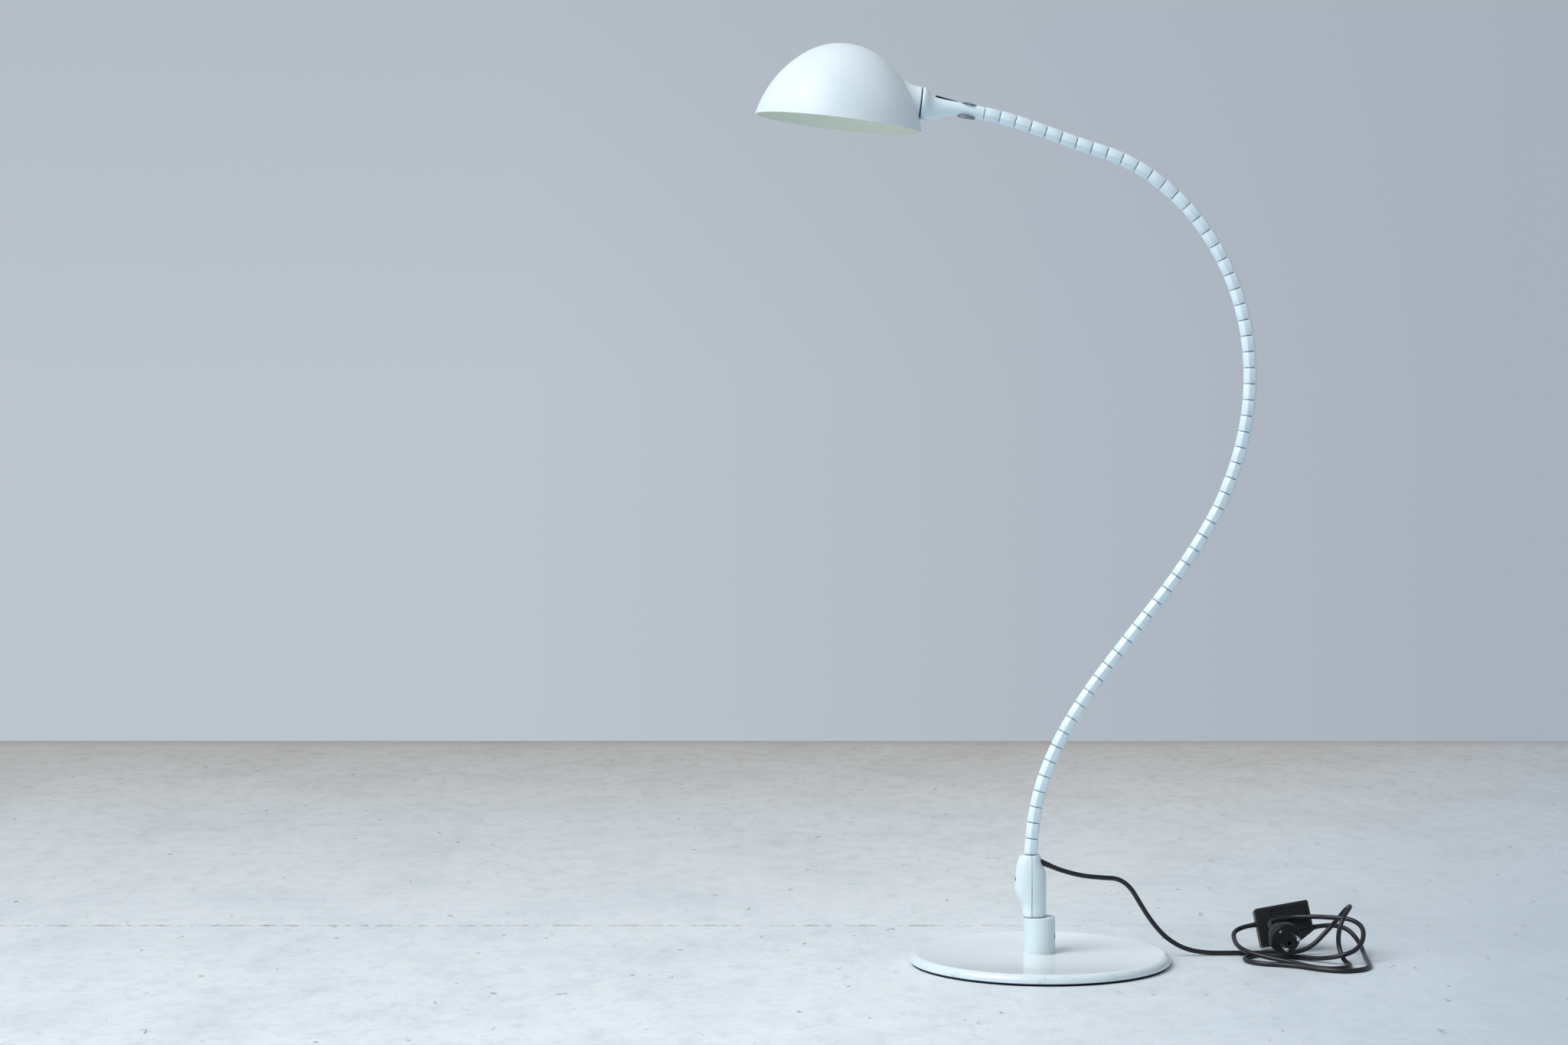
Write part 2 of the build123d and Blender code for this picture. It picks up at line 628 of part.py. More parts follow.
def shade():
    """The dome shade with its stub, the tube's hole and the nut's flat seat."""
    form = dome_solid() + stub() - dome_solid(SHADE_WALL)
    form -= ALONG_X * rod(SWIVEL_RADIUS + FIT, COLLAR_TO_AXIS)
    seat = Pos(COLLAR_TO_AXIS - SEAT_AT, 0, 0) * ALONG_X
    return ROLL * (form - seat * rod(SEAT_RADIUS, SEAT_AT / 2))


# ---- inside the shade, all on the roll axis ----
def on_roll(x, solid):
    """A turned piece set on the roll axis, this far from the collar's face."""
    return ROLL * Pos(x, 0, 0) * ALONG_X * solid


def swivel_tube():
    """The hollow tube that the shade rolls on."""
    tube = rod(SWIVEL_RADIUS, SWIVEL_IN_COLLAR + HOLDER_AT + HOLDER_CAP)
    tube -= rod(SWIVEL_BORE, 4 * HOLDER_LENGTH)
    return on_roll(-SWIVEL_IN_COLLAR, tube)


def swivel_nut():
    """The six-sided nut that keeps the shade on its tube."""
    nut = extrude(hexagon(NUT_RADIUS), NUT_THICK) - rod(SWIVEL_RADIUS + FIT, NUT_THICK)
    return on_roll(NUT_AT, nut)


def lampholder():
    """The holder on the tube's end, open at the front for the bulb's cap."""
    holder = rod(HOLDER_RADIUS, HOLDER_LENGTH) - rod(SWIVEL_RADIUS + FIT, HOLDER_CAP)
    holder -= rod(SWIVEL_BORE, HOLDER_LENGTH)
    mouth = Pos(0, 0, HOLDER_LENGTH) * rod(BULB_CAP_RADIUS + FIT, BULB_CAP_LENGTH, DOWN)
    return on_roll(HOLDER_AT, holder - mouth)


def bulb_form(wall=0.0):
    """The bulb's outer form, moved in by a wall."""
    cap = Pos(0, 0, wall) * rod(BULB_CAP_RADIUS - wall, BULB_CAP_LENGTH)
    neck = Cone(BULB_CAP_RADIUS - wall, BULB_SHOULDER_RADIUS - wall, BULB_SHOULDER, align=UP)
    globe = Pos(0, 0, BULB_LENGTH - BULB_GLOBE_RADIUS) * Sphere(BULB_GLOBE_RADIUS - wall)
    return cap + Pos(0, 0, BULB_CAP_LENGTH) * neck + globe


def bulb():
    """The hollow globe bulb with its screw cap, open at the contact."""
    shell = bulb_form() - bulb_form(BULB_WALL) - rod(BULB_CONTACT_RADIUS, BULB_CAP_LENGTH)
    return on_roll(BULB_AT, shell)


# ---- mains lead ----
def relief(length):
    """A tapered strain relief that starts on the origin."""
    return Cone(RELIEF_ROOT_RADIUS, RELIEF_TIP_RADIUS, length, align=UP)


def cord_relief():
    """The strain relief where the lead leaves the housing."""
    return lead_plane().location * relief(RELIEF_LENGTH)


def corner_radii(points):
    """The bend radius at each corner: 0.45 of the shorter run over the tangent of half the turn."""
    radii = []
    for before, corner, after in zip(points, points[1:], points[2:]):
        turn = math.radians((corner - before).get_angle(after - corner))
        shorter = min((corner - before).length, (after - corner).length)
        radii.append(0.45 * shorter / math.tan(turn / 2))
    return radii


def lead_path():
    """The lead's middle line, from the relief's tip to the coil."""
    tip = lead_plane().origin + lead_plane().z_dir * RELIEF_LENGTH
    points = [tip] + [Vector(*point) for point in LEAD_ROUTE]
    radii = corner_radii(points)
    print("lead bend radii, mm:", [round(radius, 1) for radius in radii])
    return FilletPolyline(*points, radius=radii)


def lead_cord():
    """The lead's tube over the base and down to the floor."""
    path = lead_path()
    tube = sweep(Plane(origin=path @ 0, z_dir=path % 0) * Circle(CORD_RADIUS), path=path)
    ideal = math.pi * CORD_RADIUS ** 2 * path.length
    print("lead length, mm:", round(path.length, 1), "volume over ideal:", round(tube.volume / ideal, 4))
    return tube


def loose_coil():
    """One closed shape around the loose loops beside the base."""
    left, right, front, back, high = COIL_BLOCKS[0]
    form = block(left, right, front, back, COIL_FLOOR_GAP, high)
    form = chamfer(form.edges().filter_by(Axis.Z), COIL_CORNER)
    for left, right, front, back, high in COIL_BLOCKS[1:]:
        form += block(left, right, front, back, COIL_FLOOR_GAP, high)
    foot = Pos(*HOOK_FOOT, COIL_FLOOR_GAP) * Rectangle(*HOOK_FOOT_SIZE)
    top = Pos(*HOOK_TOP, HOOK_HEIGHT) * Rectangle(*HOOK_TOP_SIZE)
    return form + loft([foot, top], ruled=True)


# ---- inline box ----
BOX = Pos(*BOX_AT) * Rot(0, BOX_ROLL, 0) * Rot(-BOX_LEAN, 0, 0)


def box_outline(wall=0.0):
    """The box's front outline, its lower right corner cut off, moved in by a wall."""
    x, z = BOX_LENGTH / 2, BOX_HEIGHT / 2
    cut = ((x - BOX_CUT_LENGTH, -z), (x, -z + BOX_CUT_HEIGHT))
    outline = Polygon((-x, -z), *cut, (x, z), (-x, z), align=None)
    outline = fillet(outline.vertices(), BOX_CORNER)
    return offset(outline, -wall) if wall else outline


def box_slab(front, back, wall=0.0):
    """A slice of the box between two depths behind its front face."""
    return Pos(0, front, 0) * extrude(Plane.XZ * box_outline(wall), front - back)


def pedal_block(gap, front, back):
    """The ridged pedal's place in the box's face, this much larger all round."""
    return block(PEDAL_LEFT - gap, PEDAL_RIGHT + gap, front, back, PEDAL_LOW - gap, PEDAL_HIGH + gap)


def inline_box_front():
    """The front shell, with a window for the pedal."""
    shell = box_slab(0, BOX_FRONT_DEPTH)
    shell = chamfer(shell.faces().sort_by(Axis.Y)[0].edges(), BOX_EDGE)
    shell -= box_slab(BOX_WALL, BOX_FRONT_DEPTH, BOX_WALL)
    return BOX * (shell - pedal_block(PEDAL_GAP, -BOX_WALL, 2 * BOX_WALL))


def inline_box_back():
    """The back shell, with a solid core that the pedal's springs rest on."""
    depth = BOX_FRONT_DEPTH + BOX_BACK_DEPTH
    shell = box_slab(BOX_FRONT_DEPTH, depth)
    shell = chamfer(shell.faces().sort_by(Axis.Y)[-1].edges(), BOX_EDGE)
    return BOX * (shell - box_slab(BOX_FRONT_DEPTH, depth - BOX_CORE_DEPTH, BOX_WALL))


def foot_button():
    """The ridged pedal, kept in by a lip behind the box's face."""
    pedal = pedal_block(0, -PEDAL_PROUD, BOX_WALL + PEDAL_THICK)
    pedal += pedal_block(PEDAL_LIP + PEDAL_GAP, BOX_WALL + FIT, BOX_WALL + PEDAL_LIP)
    for number in range(RIB_COUNT):
        height = (PEDAL_LOW + PEDAL_HIGH) / 2 + (number - (RIB_COUNT - 1) / 2) * RIB_PITCH
        pedal -= block(PEDAL_LEFT, PEDAL_RIGHT, -PEDAL_PROUD, RIB_DEPTH - PEDAL_PROUD,
                       height - RIB_WIDTH / 2, height + RIB_WIDTH / 2)
    return BOX * pedal


def box_reliefs():
    """The two strain reliefs, one at each end of the box."""
    half = BOX_LENGTH / 2
    left = Pos(-half, BOX_FRONT_DEPTH, BOX_RELIEF_LEFT_HEIGHT) * Rot(0, -90, 0) * relief(BOX_RELIEF_LENGTH)
    right = Pos(half, BOX_FRONT_DEPTH, BOX_RELIEF_RIGHT_HEIGHT) * Rot(0, 90, 0) * relief(BOX_RELIEF_LENGTH)
    return [BOX * left, BOX * right]


# ---- plug ----
PLUG = Pos(*PLUG_AT) * Rot(0, 0, PLUG_YAW) * Rot(90 + PLUG_PITCH, 0, 0) * Rot(0, 0, PLUG_ROLL)


def plug_body():
    """The round moulded plug: its face is on the origin and it tapers towards the lead."""
    body = chamfer(rod(PLUG_RADIUS, PLUG_SKIRT, DOWN).edges().sort_by(Axis.Z)[-1], PLUG_EDGE)
    taper = Cone(PLUG_BACK_RADIUS, PLUG_RADIUS, PLUG_DEPTH - PLUG_SKIRT, align=DOWN)
    body += Pos(0, 0, -PLUG_SKIRT) * taper
    for side in (-1, 1):
        seat = Pos(side * PIN_SPACING / 2, 0, 0)
        body -= seat * rod(PLUG_PIN_RADIUS + FIT, PLUG_PIN_SEAT, DOWN)
    body -= Pos(0, EARTH_HOLE_AT, 0) * rod(EARTH_HOLE_RADIUS, EARTH_HOLE_DEPTH, DOWN)
    screw = Pos(0, PLUG_SCREW_AT, 0)
    return PLUG * (body - screw * rod(PLUG_SCREW_RADIUS + FIT, PLUG_SCREW_SINK + PLUG_SCREW_LENGTH, DOWN))


def plug_pins():
    """The two contact pins, their ends rounded off."""
    pin = Pos(0, 0, -PLUG_PIN_SEAT) * rod(PLUG_PIN_RADIUS, PLUG_PIN_SEAT + PLUG_PIN_LENGTH)
    pin = chamfer(pin.edges().sort_by(Axis.Z)[-1], PLUG_PIN_RADIUS / 2)
    return [PLUG * Pos(side * PIN_SPACING / 2, 0, 0) * pin for side in (-1, 1)]


def plug_screw():
    """The screw in the plug's face."""
    return PLUG * Pos(0, PLUG_SCREW_AT, -PLUG_SCREW_SINK) * rod(PLUG_SCREW_RADIUS, PLUG_SCREW_LENGTH, DOWN)


def plug_relief():
    """The strain relief at the back of the plug."""
    return PLUG * Pos(0, 0, -PLUG_DEPTH) * Rot(180, 0, 0) * relief(PLUG_RELIEF_LENGTH)


def save(name, solids):
    """Writes one node: a single solid, or several that belong together."""
    if isinstance(solids, list):
        solids = solids[0] if len(solids) == 1 else Compound(children=solids)
    export_step(solids, "parts/" + name + ".step")


PIECES = (
    base_plate, base_pad, base_post, post_bolt, set_screw, mounting_pin, housing_left, housing_right,
    housing_screw, terminal_block, neck_spigot, arm_collar, arm_cover, arm_screw, arm_nut, shade,
    swivel_tube, swivel_nut, lampholder, bulb, cord_relief, lead_cord, loose_coil, inline_box_front,
    inline_box_back, foot_button, box_reliefs, plug_body, plug_pins, plug_screw, plug_relief,
)


def main():
    """Builds every piece and writes one file for each."""
    os.makedirs("parts", exist_ok=True)
    for piece in PIECES:
        save(piece.__name__, piece())
    pattern = bead()
    for number in range(1, BEAD_COUNT // BEADS_PER_LINK + 1):
        save("neck_link_%02d" % number, neck_link(number, pattern))


main()
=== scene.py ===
import json
import math

import bmesh
import bpy
from mathutils import Matrix, Vector


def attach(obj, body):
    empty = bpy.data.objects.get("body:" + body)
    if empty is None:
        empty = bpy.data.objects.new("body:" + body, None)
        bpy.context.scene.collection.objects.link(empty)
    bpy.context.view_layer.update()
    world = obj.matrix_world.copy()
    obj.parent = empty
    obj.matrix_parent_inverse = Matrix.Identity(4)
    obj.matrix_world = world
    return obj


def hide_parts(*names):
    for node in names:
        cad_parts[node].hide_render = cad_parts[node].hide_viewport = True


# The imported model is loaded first, because the sizes and places below come from it.
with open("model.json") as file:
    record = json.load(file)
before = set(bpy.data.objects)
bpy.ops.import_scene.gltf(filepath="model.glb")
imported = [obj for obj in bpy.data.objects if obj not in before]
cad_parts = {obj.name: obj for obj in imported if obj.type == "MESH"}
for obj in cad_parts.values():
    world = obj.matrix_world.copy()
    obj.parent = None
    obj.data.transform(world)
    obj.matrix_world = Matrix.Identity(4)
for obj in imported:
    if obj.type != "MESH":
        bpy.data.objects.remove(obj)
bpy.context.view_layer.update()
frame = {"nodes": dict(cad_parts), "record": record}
NODES = frame["nodes"]

bl_info = {
    "name": "Gooseneck floor lamp",
    "version": (1, 0, 0),
    "blender": (4, 5, 0),
    "location": "3D View > Sidebar > Lamp",
    "description": "Dresses the frame of a gooseneck reading floor lamp: enamel, beads, shade and lead",
    "category": "Object",
}

MM = 0.001

# ---- camera, as the photograph was taken: 2048 x 1365 ----
CAMERA_AT = (-0.3134, -3.920, 0.7107)
CAMERA_TILT = 2.481
CAMERA_LENS = 73.83
SENSOR_WIDTH = 36.0

# ---- stage ----
FLOOR_END = 2.45
BOARD_JOINT = 0.27
SUN_STRENGTH = 2.5
SUN_LEAN = 42
SUN_FROM = -58
SUN_SPREAD = 40
AMBIENT_LIGHT = (0.365, 0.385, 0.395, 1.0)

# ---- base, post and housing: the same sizes as the frame's ----
DISC_RADIUS = 160.0
DISC_BOTTOM = 3.0
PLATE_TOP = 13.0
POST_TOP = 57.0
HOUSING_TOP = 133.2
SEAM_X = -10.3

# ---- the disc's soft edges, and where its outline turns in under the post and at the bolt ----
FOOT_ROUND = 1.4
RIM_ROUND = 8.4
RIM_ROUND_HEIGHT = 5.0
RIM_INSIDE = 151.0
POST_FOOT = 19.4
BOLT_HOLE = 8.2

# ---- the neck: the same sizes as the frame's ----
BEAD_PITCH = 19.6
BEAD_COUNT = 59
BEADS_PER_LINK = 2
BEAD_TURN = 15.0
HALF_SIDE_TURN = 30.0
BEAD_RADIUS = 8.9
BEAD_GAP = 0.9
SOCKET_DEPTH = 3.9
NECK_FOOT_X = -11.1
NECK_FOOT_LIFT = 0.9
NECK_HEADING = 85.5
BEND_AT_BEAD = (
    (1, 0.0), (4, -4.31), (17, 0.17), (28, 3.02), (38, 3.58), (45, 3.89), (52, 5.15), (53, -1.74), (59, 2.9),
)
LOOSE_JOINTS = {26: 2.4, 46: 2.4, 50: 1.8}
LOOSE_NEIGHBOURS = 2
ARM_TURN = 2.6
ARM_LENGTH = 77.6
ARM_DROP = 1.4
COLLAR_TURN = 3.5

# ---- a bead's softer details ----
BEAD_CORNER = 1.1
BEAD_CHAMFER = 1.25
NOSE_INSET = 1.7
NOSE_LENGTH = 2.6
NOSE_TAPER = 0.8
SOCKET_RIM = 1.0

# ---- the grub screw in the post ----
SET_SCREW_HEIGHT = 21
SET_SCREW_TURN = -12
SET_SCREW_RADIUS = 3.6

# ---- the shade, from the roll axis ----
COLLAR_TO_AXIS = 96.6
ROLL_AXIS_HEIGHT = 36.7
COLLAR_STANDOFF = 0.6

# ---- the lead ----
RELIEF_LENGTH = 22.0
BOX_RELIEF_LENGTH = 6.0
PLUG_RELIEF_LENGTH = 14.0
RELIEF_ROOT = 4.1
RELIEF_TIP = 3.1
RELIEF_LIP = 0.1
RING_DEPTH = 0.55
RING_SLOPE = 0.18
# in metres, as the cords state them
LEAD_DIAMETER = 0.0059
# from the housing over the base, round the hook and the front strands, and into the box
LEAD_ROUTE = (
    (18.98, 3, 116.7), (27, 4.2, 113.2), (53, 10, 105.6), (80, 17, 102.2), (99, 22, 100.6),
    (114.5, 26.5, 89), (126.5, 31, 68.5), (141, 35.5, 45.5), (159, 40, 24.5), (183, 45.5, 9),
    (211, 50.5, 3.1), (240, 50.5, 3.1), (275, 50.5, 3.1), (305, 51, 3.1), (330, 52, 4.5), (346, 54, 13),
    (361, 57, 28), (375, 58, 43), (386, 49, 60), (387, 27, 66), (375, 8, 57), (367.5, 2, 40),
    (367, 2, 20), (372, -12, 4), (377, -30, 3.1), (369, -50, 3.1), (349, -60, 3.1), (327, -47, 3.1),
    (306, -22, 4.6), (284, -7, 6.6), (266, 4, 9.5), (254, 18, 12), (248, 35, 15), (246.5, 53, 18.5),
    (248, 73, 25), (261, 87.3, 29.1), (272.8, 87.5, 31.3),
)
# from the box round the outer strands and over the box's face, and into the plug
PLUG_LEAD_ROUTE = (
    (354.2, 83.3, 30.5), (368, 83.3, 33), (391, 79, 30), (403, 60, 16), (405, 38, 5), (403, 12, 3.1),
    (401, -16, 3.1), (398, -44, 3.1), (384, -66, 3.1), (360, -75, 3.1), (334, -62, 3.1),
    (312, -40, 3.1), (291, -30, 3.1), (274, -26, 3.1), (258, -14, 3.1), (252, 6, 3.1), (259, 26, 3.1),
    (276, 37, 3.1), (294, 34, 3.1), (318, 24, 3.1), (342, 3, 4), (364, -17, 10.5), (385, -16, 17),
    (398, 0, 28), (400, 17, 42), (387, 32, 49), (366, 44, 48.5), (346, 60, 47), (324, 70, 45),
    (306, 70, 43.6), (293.7, 62, 41.6), (288.7, 47.4, 39.1), (291, 40, 37.5),
)

# ---- the frame's pieces whose edges are rounded: their body, and their share of the rounding ----
SOFTENED = {
    "base_post": ("base", 1.0),
    "housing_left": ("base", 0.8),
    "housing_right": ("base", 0.8),
    "arm_collar": ("arm", 0.9),
    "arm_cover": ("arm", 0.2),
    "shade": ("shade", 0.8),
    "inline_box_front": ("base", 0.7),
    "inline_box_back": ("base", 0.7),
    "foot_button": ("pedal", 0.4),
    "plug_body": ("base", 1.0),
    "arm_nut": ("arm", 0.6),
}

OWN_FINISH = {
    "base_post": "post_plastic", "housing_left": "housing_plastic", "housing_right": "housing_plastic",
    "arm_collar": "collar_plastic",
}


# ---- places ----
def millimetres(x, y, z):
    """A point in metres from one in millimetres."""
    return Vector((x, y, z)) * MM


def bend_at(bead):
    """The turn of this bead against the one below it, in degrees."""
    turn = 0.0
    for (low, low_turn), (high, high_turn) in zip(BEND_AT_BEAD, BEND_AT_BEAD[1:]):
        if low < bead <= high:
            turn = low_turn + (high_turn - low_turn) * (bead - low) / (high - low)
    for loose, extra in LOOSE_JOINTS.items():
        if bead == loose:
            turn += extra
        elif abs(bead - loose) <= LOOSE_NEIGHBOURS:
            turn -= extra / (2 * LOOSE_NEIGHBOURS)
    return turn


def neck_joints():
    """Foot point and heading of every bead, then the point where the arm starts."""
    x, z, heading = NECK_FOOT_X, HOUSING_TOP + NECK_FOOT_LIFT, NECK_HEADING
    joints = []
    for number in range(1, BEAD_COUNT + 1):
        heading += bend_at(number)
        joints.append((x, z, heading))
        x += BEAD_PITCH * math.cos(math.radians(heading))
        z += BEAD_PITCH * math.sin(math.radians(heading))
    joints.append((x, z, heading))
    return joints


def basis(origin, x_axis, z_axis):
    """A place from its origin in millimetres and two of its directions."""
    x_axis, z_axis = Vector(x_axis).normalized(), Vector(z_axis).normalized()
    place = Matrix((x_axis, z_axis.cross(x_axis), z_axis)).transposed().to_4x4()
    place.translation = millimetres(*origin)
    return place


def bead_place(joint):
    """A bead's place on its lower joint: z runs along the neck."""
    x, z, heading = joint
    a = math.radians(heading)
    return basis((x, 0, z), (math.sin(a), 0, -math.cos(a)), (math.cos(a), 0, math.sin(a)))


def shifted(x=0.0, y=0.0, z=0.0):
    """A shift in millimetres."""
    return Matrix.Translation(millimetres(x, y, z))


def turned_by(degrees, axis):
    """A turn about one of the axes."""
    return Matrix.Rotation(math.radians(degrees), 4, axis)


def arm_place():
    """The arm's place on the last joint: x runs along the arm and z points up."""
    x, z, heading = JOINTS[-1]
    a = math.radians(heading + ARM_TURN)
    return basis((x, 0, z), (math.cos(a), 0, math.sin(a)), (math.sin(a), 0, -math.cos(a)))


JOINTS = neck_joints()
ARM = arm_place()
ROLL = ARM @ shifted(ARM_LENGTH, 0, -ARM_DROP) @ turned_by(COLLAR_TURN, "Y")
DOME = ROLL @ shifted(COLLAR_TO_AXIS, 0, -ROLL_AXIS_HEIGHT)


# ---- mesh tools ----
MERGE_WITHIN = 1e-6
LEVEL_WITHIN = 1e-7
SMOOTH_UNDER = 40.0


def leave_selection():
    """Nothing is selected, and no piece is being edited."""
    if bpy.context.object and bpy.context.object.mode != "OBJECT":
        bpy.ops.object.mode_set(mode="OBJECT")
    bpy.ops.object.select_all(action="DESELECT")


def choose(piece):
    """Only this piece is selected and active."""
    leave_selection()
    piece.select_set(True)
    bpy.context.view_layer.objects.active = piece


def edit(piece, kind="FACE"):
    """Starts to edit this piece with nothing of it selected."""
    choose(piece)
    bpy.ops.object.mode_set(mode="EDIT")
    bpy.ops.mesh.select_mode(type=kind)
    bpy.ops.mesh.select_all(action="DESELECT")


def pick(piece, kind, test):
    """Selects only those corners, edges or faces of the edited piece that pass the test."""
    bpy.ops.mesh.select_mode(type=kind)
    bpy.ops.mesh.select_all(action="DESELECT")
    mesh = bmesh.from_edit_mesh(piece.data)
    mesh.normal_update()
    parts = {"VERT": mesh.verts, "EDGE": mesh.edges, "FACE": mesh.faces}[kind]
    found = [part for part in parts if test(part)]
    if not found:
        raise RuntimeError(piece.name + ": nothing to select")
    for part in found:
        part.select_set(True)
    mesh.select_flush_mode()
    bmesh.update_edit_mesh(piece.data)


def level(edge):
    """The height of a level edge, in millimetres, or None where it slopes."""
    low, high = sorted(corner.co.z for corner in edge.verts)
    return low / MM if high - low < LEVEL_WITHIN else None


def done(piece):
    """Ends editing with clean outward faces."""
    bpy.ops.mesh.select_all(action="SELECT")
    bpy.ops.mesh.remove_doubles(threshold=MERGE_WITHIN)
    bpy.ops.mesh.normals_make_consistent(inside=False)
    bpy.ops.object.mode_set(mode="OBJECT")


def settle(piece, place=None):
    """Puts the piece in its place, which then stands in its mesh."""
    choose(piece)
    if place is not None:
        piece.matrix_world = place
    bpy.ops.object.transform_apply(location=True, rotation=True, scale=True)


def smooth(piece, degrees=32.0):
    """Smooth faces that keep edges sharper than this angle."""
    choose(piece)
    bpy.ops.object.shade_smooth_by_angle(angle=math.radians(degrees))


def arc(x, z, radius, start, end, steps):
    """Points of an arc in a turned outline, in millimetres, from one angle to another."""
    points = []
    for step in range(steps + 1):
        a = math.radians(start + (end - start) * step / steps)
        points.append((x + radius * math.cos(a), z + radius * math.sin(a)))
    return points


def lathe(name, outline, steps=96):
    """A piece turned about z from an outline of (radius, height) points in millimetres."""
    leave_selection()
    bpy.ops.mesh.primitive_plane_add(size=MM)
    piece = bpy.context.object
    piece.name = piece.data.name = name
    edit(piece, "VERT")
    bpy.ops.mesh.select_all(action="SELECT")
    bpy.ops.mesh.merge(type="CENTER")
    points = [millimetres(x, 0, z) for x, z in outline]
    bpy.ops.transform.translate(value=points[0])
    for start, end in zip(points, points[1:]):
        bpy.ops.mesh.extrude_region_move(TRANSFORM_OT_translate={"value": end - start})
    bpy.ops.mesh.select_all(action="SELECT")
    bpy.ops.mesh.spin(steps=steps, angle=math.tau, center=(0, 0, 0), axis=(0, 0, 1))
    done(piece)
    return piece


def modify(piece, kind, **settings):
    """Adds one modifier and applies it."""
    choose(piece)
    modifier = piece.modifiers.new(kind.title(), kind)
    for name, value in settings.items():
        setattr(modifier, name, value)
    bpy.ops.object.modifier_apply(modifier=modifier.name)


def own_copy(piece, place=None):
    """A copy with its own mesh."""
    copy = piece.copy()
    copy.data = piece.data.copy()
    bpy.context.scene.collection.objects.link(copy)
    if place is not None:
        copy.matrix_world = place
    return copy


def joined(name, pieces):
    """One piece from several, with its place in its mesh."""
    leave_selection()
    for piece in pieces:
        piece.select_set(True)
    bpy.context.view_layer.objects.active = pieces[0]
    if len(pieces) > 1:
        bpy.ops.object.join()
    whole = bpy.context.object
    bpy.ops.object.transform_apply(location=True, rotation=True, scale=True)
    whole.name = whole.data.name = name
    return whole


def softened(name, node, width, angle=32.0):
    """A copy of a frame's piece, merged, with its sharp edges rounded by this many millimetres."""
    mesh = NODES[node].data.copy()
    piece = bpy.data.objects.new(name, mesh)
    mesh.name = name
    bpy.context.scene.collection.objects.link(piece)
    edit(piece)
    bpy.ops.mesh.select_all(action="SELECT")
    bpy.ops.mesh.remove_doubles(threshold=MERGE_WITHIN)
    bpy.ops.mesh.dissolve_limited(angle_limit=math.radians(0.3))
    done(piece)
    modify(
        piece, "BEVEL", width=width * MM, segments=2, limit_method="ANGLE",
        angle_limit=math.radians(angle))
    smooth(piece, SMOOTH_UNDER)
    modify(piece, "WEIGHTED_NORMAL", keep_sharp=True)
    return piece


def mark_along(piece, length):
    """Keeps how far up each point of a pattern lies, from 0 to 1, for its finish."""
    along = piece.data.attributes.new("along", "FLOAT", "POINT")
    for point, corner in zip(along.data, piece.data.vertices):
        point.value = corner.co.z / (length * MM)


def fit_out(piece, body, slot, finish, *nodes):
    """Gives a finished piece its finish and body, and hides the nodes that it stands for."""
    piece.data.materials.clear()
    piece.data.materials.append(finish)
    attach(piece, body)
    if nodes:
        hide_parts(*nodes)


def dress(finish, *nodes):
    """Gives nodes of the frame a finish."""
    for node in nodes:
        NODES[node].data.materials.clear()
        NODES[node].data.materials.append(finish)


# ---- finishes ----
# the colour mixer's sockets go by number, because those for plain numbers have the same names
MIX_SHARE, MIX_FIRST, MIX_SECOND = 0, 6, 7
MIX_COLOUR = 2


def tint(red, green, blue):
    """A colour written as on a screen, 0 to 255, as the shader takes it."""
    def linear(value):
        value /= 255
        return value / 12.92 if value <= 0.04045 else ((value + 0.055) / 1.055) ** 2.4
    return (linear(red), linear(green), linear(blue), 1.0)


class Amount:
    """A number that changes over a surface, for use in plain arithmetic."""

    def __init__(self, finish, socket):
        self.finish = finish
        self.socket = socket

    def combine(self, operation, *values):
        node = self.finish.node("ShaderNodeMath", {"operation": operation}, dict(enumerate(values)))
        return Amount(self.finish, node.outputs[0])

    def __add__(self, other):
        return self.combine("ADD", self, other)

    __radd__ = __add__

    def __mul__(self, other):
        return self.combine("MULTIPLY", self, other)

    __rmul__ = __mul__

    def __sub__(self, other):
        return self.combine("SUBTRACT", self, other)

    def __rsub__(self, other):
        return self.combine("SUBTRACT", other, self)

    def __pow__(self, other):
        return self.combine("POWER", self, other)

    def size(self):
        return self.combine("ABSOLUTE", self)

    def between(self, low, high):
        """0 below the low value and 1 above the high one."""
        values = {"Value": self, "From Min": low, "From Max": high}
        node = self.finish.node("ShaderNodeMapRange", {"clamp": True}, values)
        return Amount(self.finish, node.outputs[0])


